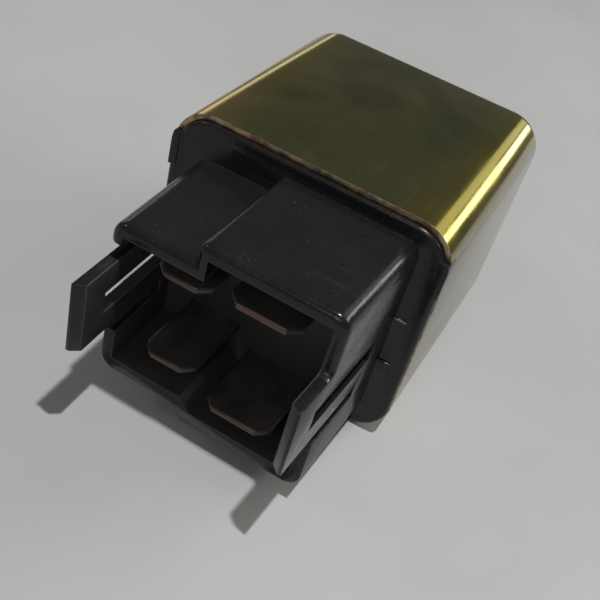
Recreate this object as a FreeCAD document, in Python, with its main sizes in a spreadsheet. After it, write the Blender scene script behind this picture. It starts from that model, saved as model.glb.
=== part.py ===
# Automotive relay with a drawn steel can, a moulded connector base and a hinged armature.
# The relay lies on its side: X is its width, Y its long axis (connector towards -Y) and Z is up.
# Every sub-part is drawn from the plane of the can's rim, and its Placement brings the
# middle of the can's flat underside to the origin.
import FreeCAD, Part
import math
import os
import Sketcher

# Driving sizes: name, millimetres, what it is
SIZES = [
    ("can_width", 32.5, "can, outside width"),
    ("can_height", 28.5, "can, outside height as it lies"),
    ("can_depth", 33.0, "can, rim to closed end"),
    ("can_wall", 0.6, "can, sheet thickness"),
    ("can_corner", 4.4, "can, outside radius of its long edges"),
    ("can_end_edge", 2.6, "can, outside radius round the closed end"),
    ("notch_drop", 7.3, "rim notch, its lower side below the can's top"),
    ("notch_height", 4.2, "rim notch, height"),
    ("notch_depth", 1.5, "rim notch, depth from the rim"),
    ("seat_gap", 0.05, "clearance of parts that seat on each other"),
    ("flange_back", 3.2, "base, back of its flange behind the rim"),
    ("flange_proud", 0.6, "base, flange face in front of the rim"),
    ("flange_edge", 0.35, "base, radius round the flange face"),
    ("lap_inset", 0.1, "base, edge of its lap over the rim inside the can's outline"),
    ("lug_reach", 0.9, "base, width of a lug, inward from the can's side"),
    ("lug_proud", 0.12, "base, lug face in front of the flange face"),
    ("pad_width", 2.2, "base, width of the small square pads beside the shroud"),
    ("pad_height", 1.5, "base, height of the small square pads"),
    ("pad_proud", 0.45, "base, the pads' faces in front of the flange face"),
    ("pad_inset", 1.9, "base, the pads' outer edges from the can's side"),
    ("pad_low", 9.2, "base, lower edge of the lower pad"),
    ("pad_high", 15.3, "base, lower edge of the upper pad"),
    ("shroud_inset", 3.25, "shroud, its sides at the flange inside the can's sides"),
    ("shroud_draft", 0.8, "shroud, taper of each side from the flange to the arms' tips"),
    ("hood_wide_drop", 2.3, "hood, top of the wide chamber below the can's top"),
    ("hood_narrow_drop", 4.7, "hood, top of the narrow chamber below the can's top"),
    ("tray_wide_floor", 2.3, "tray, underside of the wide chamber"),
    ("tray_narrow_floor", 3.9, "tray, underside of the narrow chamber"),
    ("hood_wall", 1.5, "shroud, thickness of hood and tray"),
    ("side_wall", 1.3, "shroud, thickness of the side walls"),
    ("step_wall", 1.3, "shroud, thickness of the upright step"),
    ("hood_step", 3.25, "hood, step's outer face left of the middle"),
    ("tray_step", 3.5, "tray, upper end of the step left of the middle"),
    ("tray_step_run", 1.6, "tray, sideways run of its slanting step"),
    ("shroud_edge", 1.8, "shroud, radius of its long corners"),
    ("step_edge", 1.0, "shroud, radius of the step's long edge"),
    ("front_edge", 0.9, "hood, radius round its front"),
    ("hood_reach", 16.0, "hood, front edge from the rim"),
    ("tray_reach", 14.8, "tray, front edge from the rim"),
    ("plateau_reach", 4.5, "raised floor of the connector, from the rim"),
    ("arm_reach", 21.6, "latch arms, tips from the rim"),
    ("arm_drop", 12.8, "latch arms, lower edge below the narrow hood's top"),
    ("arm_height", 8.4, "latch arms, height"),
    ("slot_rise", 2.7, "latch slot, lower edge above the arm's lower edge"),
    ("slot_height", 2.7, "latch slot, height"),
    ("slot_tip", 4.0, "latch arms, solid tip in front of the slot"),
    ("slot_root", 5.2, "latch slot, inner end from the rim"),
    ("slit_height", 1.8, "slit between arm and tray, height"),
    ("slit_root", 6.5, "slit between arm and tray, inner end from the rim"),
    ("window_height", 1.9, "gap between narrow hood and arm, height"),
    ("window_root", 8.0, "gap between narrow hood and arm, inner end from the rim"),
    ("lead_in", 1.4, "latch arms, length of the chamfer inside the tip"),
    ("tip_land", 0.35, "latch arms, thickness left at the tip"),
    ("blade_thickness", 0.8, "all blades"),
    ("blade_reach", 14.4, "blades, tips from the rim"),
    ("blade_corner", 1.3, "blades, chamfer of their front corners"),
    ("coil_blade_width", 6.3, "narrow blades of the coil"),
    ("load_blade_width", 8.0, "wide blades of the contacts"),
    ("coil_blade_place", 5.15, "narrow blades, middle left of the middle"),
    ("load_blade_place", 3.75, "wide blades, middle right of the middle"),
    ("coil_blade_drop", 4.6, "upper narrow blade, below the narrow hood's top"),
    ("coil_blade_rise", 4.4, "lower narrow blade, above the narrow tray's underside"),
    ("load_blade_drop", 6.0, "upper wide blade, below the wide hood's top"),
    ("load_blade_rise", 3.4, "lower wide blade, above the wide tray's underside"),
    ("coil_tail_width", 2.2, "coil terminals, width of the solder tail"),
    ("coil_tail", 0.9, "coil terminals, length of the tail behind the base"),
    ("shoulder_gap", 0.2, "load terminals, shoulder behind the base"),
    ("shoulder", 1.0, "load terminals, height of the shoulder"),
    ("strip_width", 6.6, "fixed contact terminal, width of its strip"),
    ("strip_clear", 3.8, "load terminals, strip from the can's inner side"),
    ("tail_width", 4.4, "common terminal, width of its tail"),
    ("tail_length", 5.8, "common terminal, length of its tail behind the base"),
    ("post_end", 2.85, "fixed contact terminal, its turned-down end below the contact"),
    ("bend", 1.1, "fixed contact terminal, outside radius of its bend"),
    ("magnet_drop", 5.95, "coil axis, below the upper wide blade"),
    ("yoke_stand", 1.2, "base, height of the posts that the yoke stands on"),
    ("yoke_thickness", 1.6, "yoke, sheet thickness"),
    ("yoke_post", 1.1, "base, width of those posts"),
    ("yoke_margin", 1.3, "yoke, its width past the core on each side"),
    ("yoke_side", 3.45, "yoke, outer face from the can's inner side"),
    ("foot_margin", 1.5, "yoke, its foot past the core"),
    ("yoke_tab", 2.0, "yoke, depth of its tab in the base"),
    ("yoke_tab_width", 6.4, "yoke, width of its tab"),
    ("spring_lug", 2.9, "yoke, reach of the spring's lug"),
    ("spring_lug_width", 2.4, "yoke, width of the spring's lug"),
    ("spring_lug_place", 5.0, "yoke, the spring's lug behind the base"),
    ("spring_lug_thickness", 1.2, "yoke, thickness of the spring's lug"),
    ("strip_gap", 1.75, "bobbin, its side from the fixed contact's strip"),
    ("bobbin_corner", 1.5, "bobbin, corner radius of its flanges"),
    ("bobbin_flange", 1.0, "bobbin, thickness of its flanges"),
    ("end_clear", 2.15, "armature rivets, from the can's closed end"),
    ("bobbin_wall", 0.9, "bobbin, wall of its tube"),
    ("core_share", 0.48, "core, its radius as a share of the winding's"),
    ("core_stake", 0.35, "core, height of its riveted end"),
    ("pole_inset", 2.0, "core, edge of its pole inside the bobbin's sides"),
    ("pole_thickness", 0.95, "core, thickness of its pole"),
    ("winding_inset", 0.75, "winding, below the edges of the bobbin's flanges"),
    ("tape_thickness", 0.15, "tape round the winding"),
    ("lead_radius", 0.25, "coil leads, radius of the wire"),
    ("lead_notch", 1.6, "bobbin, width of the notches for the leads"),
    ("lead_clear", 0.3, "coil leads, clearance over the yoke's foot"),
    ("lead_end", 2.0, "coil leads, length that lies on the tape"),
    ("pole_gap", 0.6, "armature to pole at rest"),
    ("armature_thickness", 1.5, "armature, thickness"),
    ("armature_inset", 1.0, "armature, its edges inside the bobbin's sides"),
    ("armature_overhang", 6.0, "armature, past the coil axis"),
    ("armature_tail", 2.8, "armature, tail outside the yoke"),
    ("armature_tail_height", 3.0, "armature, height of its tail"),
    ("leaf_thickness", 0.3, "contact leaf, thickness"),
    ("leaf_inset", 2.0, "contact leaf, its edges inside the armature's"),
    ("leaf_neck", 6.0, "contact leaf, height of its free end"),
    ("leaf_start", 5.0, "contact leaf, start left of the coil axis"),
    ("leaf_end", 2.5, "contact leaf, end past the contacts"),
    ("leaf_tab", 2.2, "contact leaf, depth of the tab for the braid"),
    ("rivet_radius", 1.0, "armature rivets, shank radius"),
    ("rivet_head", 1.8, "armature rivets, head radius"),
    ("rivet_head_height", 0.7, "armature rivets, head height"),
    ("rivet_offset", 3.0, "armature rivets, each side of the coil axis"),
    ("contact_inset", 2.85, "contacts, from the outer edge of the fixed contact's strip"),
    ("contact_gap", 0.9, "contacts, gap at rest"),
    ("moving_contact_radius", 1.7, "moving contact, radius"),
    ("moving_contact_height", 0.8, "moving contact, height"),
    ("fixed_contact_radius", 1.9, "fixed contact, radius"),
    ("fixed_contact_height", 0.9, "fixed contact, height"),
    ("contact_shank", 0.8, "contacts, shank radius"),
    ("contact_upset", 1.2, "contacts, radius of the riveted end"),
    ("contact_upset_height", 0.35, "contacts, height of the riveted end"),
    ("spring_radius", 1.05, "return spring, mean radius"),
    ("spring_wire", 0.2, "return spring, wire radius"),
    ("spring_turns", 7, "return spring, turns"),
    ("spring_leg", 1.3, "return spring, straight leg beside lug and tail"),
    ("spring_hook", 0.5, "return spring, legs past lug and tail"),
    ("stop_width", 3.0, "back stop, width"),
    ("stop_thickness", 0.6, "back stop, thickness"),
    ("stop_overlap", 1.1, "back stop, overlap behind the armature"),
    ("stop_lip", 0.35, "back stop, depth of the lips between the bobbin's flanges"),
    ("braid_width", 2.6, "braid, width"),
    ("braid_thickness", 0.8, "braid, thickness"),
    ("braid_bend", 4.0, "braid, radius of its bends"),
    ("braid_run", 9.8, "braid, from the start of its bends to the contact leaf"),
]

# Sizes that follow from the driving ones: name, sheet formula, what it is
FITTED = [
    ("notch_floor", "can_height - notch_drop", "rim notch, height of its lower side"),
    ("shroud_half_root", "can_width / 2 - shroud_inset", "shroud, half width at the flange"),
    ("shroud_half_tip", "shroud_half_root - shroud_draft", "shroud, half width at the tips"),
    ("hood_wide_top", "can_height - hood_wide_drop", "hood, top of the wide chamber"),
    ("hood_narrow_top", "can_height - hood_narrow_drop", "hood, top of the narrow chamber"),
    ("arm_bottom", "hood_narrow_top - arm_drop", "latch arms, lower edge"),
    ("coil_blade_high", "hood_narrow_top - coil_blade_drop", "upper narrow blade, height"),
    ("coil_blade_low", "tray_narrow_floor + coil_blade_rise", "lower narrow blade, height"),
    ("load_blade_high", "hood_wide_top - load_blade_drop", "upper wide blade, height"),
    ("load_blade_low", "tray_wide_floor + load_blade_rise", "lower wide blade, height"),
    ("magnet_height", "load_blade_high - magnet_drop", "coil axis, height"),
    ("strip_edge", "can_width / 2 - can_wall - strip_clear", "load terminals, outer edge"),
    ("post_low", "magnet_height - post_end", "fixed contact terminal, its lower end"),
    ("contact_place", "strip_edge - contact_inset", "contacts, right of the middle"),
    ("bobbin_side", "can_width - can_wall * 2 - yoke_side - yoke_thickness - seat_gap * 2"
     " - strip_gap - strip_width - strip_clear", "bobbin, side of its square flanges"),
    ("winding_radius", "bobbin_side / 2 - winding_inset", "winding, outside radius"),
    ("core_radius", "winding_radius * core_share", "core, radius"),
    ("pole_radius", "bobbin_side / 2 - pole_inset", "core, radius of its pole"),
    ("yoke_width", "core_radius * 2 + yoke_margin * 2", "yoke, width"),
    ("yoke_foot", "yoke_thickness + seat_gap * 2 + bobbin_side / 2 + core_radius + foot_margin",
     "yoke, length of its foot"),
    ("armature_height", "bobbin_side - armature_inset * 2", "armature, height"),
    ("leaf_height", "armature_height - leaf_inset * 2", "contact leaf, height"),
    ("bobbin_length", "can_depth - can_wall - end_clear - rivet_head_height - leaf_thickness"
     " - armature_thickness - pole_gap - pole_thickness - seat_gap * 4 - flange_back"
     " - yoke_stand - yoke_thickness", "bobbin, length"),
]

NODES = []


class Measure:
    """A length that knows its value and the sheet formula that it comes from."""

    def __init__(self, value, formula):
        self.value = value
        self.formula = formula

    def combine(self, sign, other, value):
        return Measure(value, "(%s %s %s)" % (self.formula, sign, other.formula))

    def __add__(self, other):
        other = as_measure(other)
        return self.combine("+", other, self.value + other.value)

    def __sub__(self, other):
        other = as_measure(other)
        return self.combine("-", other, self.value - other.value)

    def __mul__(self, other):
        other = as_measure(other)
        return self.combine("*", other, self.value * other.value)

    def __truediv__(self, other):
        other = as_measure(other)
        return self.combine("/", other, self.value / other.value)

    def __neg__(self):
        return Measure(-self.value, "(0 - %s)" % self.formula)

    def root(self):
        return Measure(math.sqrt(self.value), "sqrt(%s)" % self.formula)

    def larger(self, other):
        return Measure(max(self.value, other.value), "max(%s; %s)" % (self.formula, other.formula))

    def smaller(self, other):
        return Measure(min(self.value, other.value), "min(%s; %s)" % (self.formula, other.formula))


def as_measure(number):
    """A plain number as a Measure, and a Measure as it is."""
    if isinstance(number, Measure):
        return number
    return Measure(float(number), repr(float(number)))


ZERO = as_measure(0)


class Sizes:
    """The sizes by name, driving and fitted ones."""


def make_sheet(doc):
    """Write the sizes to the spreadsheet and hand them back by name."""
    sheet = doc.addObject("Spreadsheet::Sheet", "sizes")
    rows = [(name, str(number), note) for name, number, note in SIZES]
    rows += [(name, "=" + formula, note) for name, formula, note in FITTED]
    for row, (name, content, note) in enumerate(rows, 1):
        sheet.set("A%d" % row, note)
        sheet.set("B%d" % row, content)
        sheet.setAlias("B%d" % row, name)
    doc.recompute()
    sizes = Sizes()
    for name, content, note in rows:
        setattr(sizes, name, Measure(float(sheet.get(name)), "sizes.%s" % name))
    return sizes


def new_body(doc, s, name):
    """An empty body whose origin is brought from the rim's plane to the underside's middle."""
    body = doc.addObject("PartDesign::Body", name)
    body.Label = name
    body.setExpression("Placement.Base.y", (-s.can_depth / 2).formula)
    NODES.append(body)
    return body


def new_sketch(body, name, role, place=ZERO):
    """A sketch on one of the body's own planes, moved to a place on that plane's axis."""
    sketch = body.newObject("Sketcher::SketchObject", name)
    plane = [item for item in body.Origin.OriginFeatures if item.Role == role][0]
    sketch.AttachmentSupport = [(plane, "")]
    sketch.MapMode = "FlatFace"
    offset = -place if role == "XZ_Plane" else place
    sketch.setExpression("AttachmentOffset.Base.z", offset.formula)
    return sketch


def pin_point(sketch, shape, end, x, y):
    """Hold a point of a sketch at a place worked out from the sheet."""
    for kind, size in (("DistanceX", x), ("DistanceY", y)):
        index = sketch.addConstraint(Sketcher.Constraint(kind, -1, 1, shape, end, size.value))
        sketch.setExpression("Constraints[%d]" % index, size.formula)


def set_radius(sketch, shape, radius):
    """Hold the radius of an arc or circle."""
    index = sketch.addConstraint(Sketcher.Constraint("Radius", shape, radius.value))
    sketch.setExpression("Constraints[%d]" % index, radius.formula)


def polygon(sketch, corners):
    """A closed outline of straight lines, each corner held by the sheet."""
    corners = [(as_measure(x), as_measure(y)) for x, y in corners]
    points = [FreeCAD.Vector(x.value, y.value, 0) for x, y in corners]
    first = sketch.GeometryCount
    count = len(points)
    for n in range(count):
        sketch.addGeometry(Part.LineSegment(points[n], points[(n + 1) % count]), False)
    for n in range(count):
        following = first + (n + 1) % count
        sketch.addConstraint(Sketcher.Constraint("Coincident", first + n, 2, following, 1))
        pin_point(sketch, first + n, 1, *corners[n])


def polyline(sketch, corners):
    """An open row of straight lines for a path, each corner held by the sheet."""
    points = [FreeCAD.Vector(x.value, y.value, 0) for x, y in corners]
    for n in range(len(points) - 1):
        sketch.addGeometry(Part.LineSegment(points[n], points[n + 1]), False)
        if n:
            sketch.addConstraint(Sketcher.Constraint("Coincident", n - 1, 2, n, 1))
        pin_point(sketch, n, 1, *corners[n])
    pin_point(sketch, len(points) - 2, 2, *corners[-1])


def rectangle(sketch, left, right, low, high):
    """A rectangle between four sides."""
    polygon(sketch, [(left, low), (right, low), (right, high), (left, high)])


def circle(sketch, x, y, radius):
    """A circle with its centre held by the sheet."""
    x = as_measure(x)
    y = as_measure(y)
    centre = FreeCAD.Vector(x.value, y.value, 0)
    shape = sketch.addGeometry(Part.Circle(centre, FreeCAD.Vector(0, 0, 1), radius.value), False)
    pin_point(sketch, shape, 3, x, y)
    set_radius(sketch, shape, radius)


def rounded_rectangle(sketch, left, right, low, high, radius):
    """A rectangle with four equal round corners, as the can's section."""
    x1, x2, y1, y2, r = (side.value for side in (left, right, low, high, radius))
    first = sketch.GeometryCount
    ends = [((x1 + r, y1), (x2 - r, y1)), ((x2, y1 + r), (x2, y2 - r)),
            ((x2 - r, y2), (x1 + r, y2)), ((x1, y2 - r), (x1, y1 + r))]
    for start, stop in ends:
        line = Part.LineSegment(FreeCAD.Vector(*start, 0), FreeCAD.Vector(*stop, 0))
        sketch.addGeometry(line, False)
    centres = [(x2 - r, y1 + r), (x2 - r, y2 - r), (x1 + r, y2 - r), (x1 + r, y1 + r)]
    for n, centre in enumerate(centres):
        whole = Part.Circle(FreeCAD.Vector(*centre, 0), FreeCAD.Vector(0, 0, 1), r)
        turn = math.radians(270 + 90 * n)
        arc = Part.ArcOfCircle(whole, turn, turn + math.pi / 2)
        sketch.addGeometry(arc, False)
    for n in range(4):
        arc = first + 4 + n
        sketch.addConstraint(Sketcher.Constraint("Tangent", first + n, 2, arc, 1))
        sketch.addConstraint(Sketcher.Constraint("Tangent", arc, 2, first + (n + 1) % 4, 1))
        sketch.addConstraint(Sketcher.Constraint("Vertical" if n % 2 else "Horizontal", first + n))
        set_radius(sketch, arc, radius)
    for kind, line, side in (("DistanceY", 0, low), ("DistanceX", 1, right),
                             ("DistanceY", 2, high), ("DistanceX", 3, left)):
        index = sketch.addConstraint(
            Sketcher.Constraint(kind, -1, 1, first + line, 1, side.value))
        sketch.setExpression("Constraints[%d]" % index, side.formula)


def pad(body, name, sketch, length, backwards=False, both=False):
    """Add material along the sketch's normal, against it, or to both sides of it."""
    item = body.newObject("PartDesign::Pad", name)
    item.Profile = sketch
    item.setExpression("Length", length.formula)
    item.Reversed = backwards
    if both:
        item.SideType = "Symmetric"
    body.Document.recompute()
    return item


def pocket(body, name, sketch, length=None, forwards=False, both=False):
    """Cut against the sketch's normal, along it, or both ways; with no length, right through."""
    before = body.Shape.Volume
    item = body.newObject("PartDesign::Pocket", name)
    item.Profile = sketch
    if length is None:
        item.Type = "ThroughAll"
    else:
        item.setExpression("Length", length.formula)
    item.Reversed = forwards
    if both:
        item.SideType = "Symmetric"
    body.Document.recompute()
    check_cut(body, name, before)
    return item


def check_cut(body, name, before):
    """Stop if a cut took nothing away."""
    if not body.Shape.Volume < before - 1e-6:
        raise RuntimeError("%s cuts nothing" % name)


def span(edge, axis):
    """The lowest and highest coordinate of an edge along x, y or z."""
    box = edge.BoundBox
    return {"x": (box.XMin, box.XMax), "y": (box.YMin, box.YMax), "z": (box.ZMin, box.ZMax)}[axis]


def lies_at(edge, axis, place, slack=0.01):
    """True if the whole edge has one coordinate."""
    low, high = span(edge, axis)
    return abs(low - place.value) < slack and abs(high - place.value) < slack


def middle(edge):
    """The point halfway along an edge."""
    return edge.valueAt((edge.FirstParameter + edge.LastParameter) / 2)


def dress(body, kind, name, size, wanted):
    """Round or chamfer the edges that a rule picks from the body as it stands."""
    base = body.Tip
    names = ["Edge%d" % n for n, edge in enumerate(base.Shape.Edges, 1) if wanted(edge)]
    if not names:
        raise RuntimeError("%s finds no edge" % name)
    item = body.newObject("PartDesign::" + kind, name)
    item.Base = (base, names)
    item.setExpression("Radius" if kind == "Fillet" else "Size", size.formula)
    body.Document.recompute()
    return item


def build_can(doc, s):
    """The can, drawn from sheet: round long edges, a round closed end and two rim notches."""
    body = new_body(doc, s, "can")
    half = s.can_width / 2
    wall = s.can_wall
    outline = new_sketch(body, "can_outline", "XZ_Plane")
    rounded_rectangle(outline, -half, half, ZERO, s.can_height, s.can_corner)
    pad(body, "can_block", outline, s.can_depth, backwards=True)
    dress(body, "Fillet", "can_end_round", s.can_end_edge,
          lambda edge: lies_at(edge, "y", s.can_depth))
    block = body.Tip
    mouth = ["Face%d" % n for n, face in enumerate(block.Shape.Faces, 1)
             if face.BoundBox.YMax < 0.01]
    drawn = body.newObject("PartDesign::Thickness", "can_drawn")
    drawn.Base = (block, mouth)
    drawn.setExpression("Value", wall.formula)
    drawn.Reversed = True
    doc.recompute()
    notch = new_sketch(body, "rim_notch_outline", "YZ_Plane")
    rectangle(notch, -s.notch_depth, s.notch_depth, s.notch_floor, s.notch_floor + s.notch_height)
    pocket(body, "rim_notches", notch, s.can_width * 2, both=True)


def shroud_outline(sketch, s, half, inset):
    """The stepped section of the connector, at a half width, outside or inside its walls."""
    top = s.hood_wall if inset else ZERO
    left = half - s.side_wall if inset else half
    step = s.step_wall if inset else ZERO
    slant = s.hood_wall * 0.6 if inset else ZERO
    polygon(sketch, [
        (-left, s.hood_narrow_top - top),
        (-s.hood_step + step, s.hood_narrow_top - top),
        (-s.hood_step + step, s.hood_wide_top - top),
        (left, s.hood_wide_top - top),
        (left, s.tray_wide_floor + top),
        (-s.tray_step + s.tray_step_run + slant, s.tray_wide_floor + top),
        (-s.tray_step + slant, s.tray_narrow_floor + top),
        (-left, s.tray_narrow_floor + top),
    ])


def half_width_at(s, reach):
    """The shroud's outside half width, drafted from the flange to the arms' tips."""
    return s.shroud_half_root - (s.shroud_half_root - s.shroud_half_tip) * reach / s.arm_reach


def loft(body, kind, name, sketches):
    """A ruled loft between two sections."""
    before = body.Shape.Volume
    item = body.newObject("PartDesign::" + kind, name)
    item.Profile = sketches[0]
    item.Sections = sketches[1:]
    item.Ruled = True
    body.Document.recompute()
    if kind == "SubtractiveLoft":
        check_cut(body, name, before)
    return item


def build_flange(body, s):
    """The plate in the can's mouth, which laps over the rim except along the top."""
    half = s.can_width / 2
    inset = s.lap_inset
    lap_top = s.notch_floor + s.notch_height - s.seat_gap
    lap = new_sketch(body, "rim_lap_outline", "XZ_Plane", -s.seat_gap)
    rounded_rectangle(lap, -half + inset, half - inset, inset, s.can_height - inset,
                      s.can_corner - inset)
    pad(body, "rim_lap", lap, s.flange_proud - s.seat_gap)
    above = new_sketch(body, "rim_lap_top", "XZ_Plane", -s.flange_proud)
    rectangle(above, -s.can_width, s.can_width, lap_top, s.can_height * 2)
    pocket(body, "rim_lap_trim", above, s.flange_proud)
    inner = s.can_wall + s.seat_gap
    plate = new_sketch(body, "flange_outline", "XZ_Plane", s.flange_back)
    rounded_rectangle(plate, -half + inner, half - inner, inner, s.can_height - inner,
                      s.can_corner - inner)
    pad(body, "flange", plate, s.flange_back + s.flange_proud)
    dress(body, "Fillet", "flange_round", s.flange_edge,
          lambda edge: lies_at(edge, "y", -s.flange_proud) and not lies_at(edge, "z", lap_top))


def build_lugs(body, s):
    """Two lugs that fill the rim's notches, trimmed to the can's outline."""
    half = s.can_width / 2
    lugs = new_sketch(body, "lug_outlines", "XZ_Plane", s.notch_depth - s.seat_gap)
    low = s.notch_floor + s.seat_gap
    high = s.notch_floor + s.notch_height - s.seat_gap
    rectangle(lugs, -half, -half + s.lug_reach, low, high)
    rectangle(lugs, half - s.lug_reach, half, low, high)
    pad(body, "lugs", lugs, s.notch_depth - s.seat_gap + s.flange_proud + s.lug_proud)
    around = new_sketch(body, "can_outline_on_lugs", "XZ_Plane", s.notch_depth)
    rectangle(around, -s.can_width, s.can_width, -s.can_height, s.can_height * 2)
    rounded_rectangle(around, -half, half, ZERO, s.can_height, s.can_corner)
    pocket(body, "lug_trim", around, s.notch_depth * 2 + s.flange_proud + s.lug_proud,
           forwards=True)


def build_pads(body, s):
    """The four small raised pads that show beside the shroud."""
    pads = new_sketch(body, "pad_outlines", "XZ_Plane", -s.flange_proud)
    right = s.can_width / 2 - s.pad_inset
    for low in (s.pad_low, s.pad_high):
        rectangle(pads, right - s.pad_width, right, low, low + s.pad_height)
        rectangle(pads, -right, -right + s.pad_width, low, low + s.pad_height)
    pad(body, "pads", pads, s.pad_proud)


def build_shroud(body, s):
    """The stepped shroud, lofted with draft, hollowed to the raised floor inside it."""
    root = new_sketch(body, "shroud_root", "XZ_Plane")
    shroud_outline(root, s, s.shroud_half_root, False)
    tip = new_sketch(body, "shroud_tip", "XZ_Plane", -s.arm_reach)
    shroud_outline(tip, s, s.shroud_half_tip, False)
    loft(body, "AdditiveLoft", "shroud", [root, tip])
    tops = (s.hood_narrow_top.value, s.hood_wide_top.value)
    floors = (s.tray_narrow_floor.value, s.tray_wide_floor.value)

    def long_edge(edge):
        low, high = span(edge, "y")
        return high - low > s.arm_reach.value / 2 and low < -s.arm_reach.value + 0.01

    def outer_corner(edge):
        point = middle(edge)
        near = min(abs(point.z - z) for z in tops + floors) < 0.01
        return long_edge(edge) and near and abs(point.x) > s.hood_step.value * 2

    def step_corner(edge):
        point = middle(edge)
        return (long_edge(edge) and abs(point.x + s.hood_step.value) < 0.01
                and abs(point.z - tops[1]) < 0.01)

    dress(body, "Fillet", "shroud_long_rounds", s.shroud_edge, outer_corner)
    dress(body, "Fillet", "shroud_step_round", s.step_edge, step_corner)
    floor = new_sketch(body, "chamber_floor", "XZ_Plane", -s.plateau_reach)
    shroud_outline(floor, s, half_width_at(s, s.plateau_reach), True)
    mouth = new_sketch(body, "chamber_mouth", "XZ_Plane", -s.arm_reach)
    shroud_outline(mouth, s, s.shroud_half_tip, True)
    loft(body, "SubtractiveLoft", "chamber", [floor, mouth])


def trim_front(body, s):
    """Cut the hood and the tray back, so that the side walls run on as two latch arms."""
    arm_top = s.arm_bottom + s.arm_height
    beyond = -s.arm_reach - s.hood_wall
    above = new_sketch(body, "hood_front", "YZ_Plane")
    rectangle(above, beyond, -s.hood_reach, arm_top, s.can_height)
    pocket(body, "hood_trim", above, s.can_width * 2, both=True)
    below = new_sketch(body, "tray_front", "YZ_Plane")
    rectangle(below, beyond, -s.tray_reach, -s.hood_wall, s.arm_bottom)
    pocket(body, "tray_trim", below, s.can_width * 2, both=True)


def cut_sides(body, s):
    """The latch slots, the slits below the arms, and the gap above the narrow side's arm."""
    reach = s.side_wall * 2
    arm_top = s.arm_bottom + s.arm_height
    slot_low = s.arm_bottom + s.slot_rise
    beyond = -s.arm_reach - s.hood_wall
    outer = s.shroud_half_root
    for side, place, forwards in (("right", outer, False), ("left", -outer, True)):
        gaps = new_sketch(body, "%s_gaps" % side, "YZ_Plane", place)
        rectangle(gaps, -s.arm_reach + s.slot_tip, -s.slot_root, slot_low,
                  slot_low + s.slot_height)
        rectangle(gaps, beyond, -s.slit_root, s.arm_bottom - s.slit_height, s.arm_bottom)
        if side == "left":
            rectangle(gaps, beyond, -s.window_root, arm_top, arm_top + s.window_height)
        pocket(body, "%s_cuts" % side, gaps, reach, forwards=forwards)


def chamfer_tips(body, s):
    """The lead-in inside each arm's tip."""
    tips = new_sketch(body, "lead_in_outlines", "XY_Plane")
    inner = s.shroud_half_tip - s.side_wall * 1.5
    outer = s.shroud_half_tip - s.tip_land
    back = -s.arm_reach + s.lead_in
    for sign in (1, -1):
        polygon(tips, [(inner * sign, back), (inner * sign, -s.arm_reach * 1.1),
                       (outer * sign, -s.arm_reach * 1.1), (outer * sign, -s.arm_reach)])
    pocket(body, "lead_ins", tips, s.can_height * 4, both=True)


def round_hood_front(body, s):
    """The soft edge round the hood's front, outside only."""
    half = half_width_at(s, s.hood_reach).value

    def outside(edge):
        if not lies_at(edge, "y", -s.hood_reach):
            return False
        point = middle(edge)
        if point.z > s.hood_wide_top.value - s.hood_wall.value / 2:
            return True
        if point.x < -s.hood_step.value:
            return point.z > s.hood_narrow_top.value - s.hood_wall.value / 2
        return point.x > half - s.side_wall.value / 2 and point.z > s.arm_bottom.value

    dress(body, "Fillet", "hood_front_round", s.front_edge, outside)


def cut_blade_slots(body, s):
    """Four slots right through the base for the blades, and a socket for the yoke's tab."""
    slots = new_sketch(body, "blade_slots_outline", "XZ_Plane", s.flange_back)
    gap = s.seat_gap
    half_thick = s.blade_thickness / 2 + gap
    for place, width, heights in (
            (-s.coil_blade_place, s.coil_blade_width, (s.coil_blade_high, s.coil_blade_low)),
            (s.load_blade_place, s.load_blade_width, (s.load_blade_high, s.load_blade_low))):
        for height in heights:
            rectangle(slots, place - width / 2 - gap, place + width / 2 + gap,
                      height - half_thick, height + half_thick)
    pocket(body, "blade_slots", slots, forwards=True)
    socket = new_sketch(body, "yoke_socket_outline", "XZ_Plane", s.flange_back)
    left = yoke_outer(s)
    half_tab = s.yoke_tab_width / 2 + gap
    rectangle(socket, left - gap, left + s.yoke_thickness + gap,
              s.magnet_height - half_tab, s.magnet_height + half_tab)
    pocket(body, "yoke_socket", socket, s.yoke_tab + gap, forwards=True)


def build_posts(body, s):
    """Two posts behind the flange that the yoke's foot stands on."""
    posts = new_sketch(body, "post_outlines", "XZ_Plane", s.flange_back)
    left = yoke_outer(s) + s.yoke_thickness * 1.5
    right = yoke_outer(s) + s.yoke_foot
    half_tab = s.yoke_tab_width / 2
    for start, stop in ((left, left + s.yoke_post), (right - s.yoke_post, right)):
        rectangle(posts, start, stop, s.magnet_height - half_tab, s.magnet_height + half_tab)
    pad(body, "yoke_posts", posts, s.yoke_stand, backwards=True)


def build_base(doc, s):
    """The base: flange, lugs, shroud, raised floor, tray and latch arms in one moulding."""
    body = new_body(doc, s, "base")
    build_flange(body, s)
    build_lugs(body, s)
    build_pads(body, s)
    build_shroud(body, s)
    trim_front(body, s)
    round_hood_front(body, s)
    cut_sides(body, s)
    chamfer_tips(body, s)
    cut_blade_slots(body, s)
    build_posts(body, s)


def yoke_outer(s):
    """X of the yoke's outer face."""
    return -s.can_width / 2 + s.can_wall + s.yoke_side


def coil_axis(s):
    """X of the coil's axis: the bobbin stands beside the yoke."""
    return yoke_outer(s) + s.yoke_thickness + s.seat_gap * 2 + s.bobbin_side / 2


def foot_back(s):
    """Y of the yoke foot's far face, where the bobbin starts."""
    return s.flange_back + s.yoke_stand + s.yoke_thickness


def bobbin_start(s):
    """Y of the bobbin's near end."""
    return foot_back(s) + s.seat_gap


def pole_back(s):
    """Y of the back of the pole head, against the bobbin's far flange."""
    return bobbin_start(s) + s.bobbin_length + s.seat_gap


def armature_front(s):
    """Y of the armature's face that the pole pulls."""
    return pole_back(s) + s.pole_thickness + s.pole_gap


def leaf_front(s):
    """Y of the contact leaf's near face."""
    return armature_front(s) + s.armature_thickness + s.seat_gap


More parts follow.
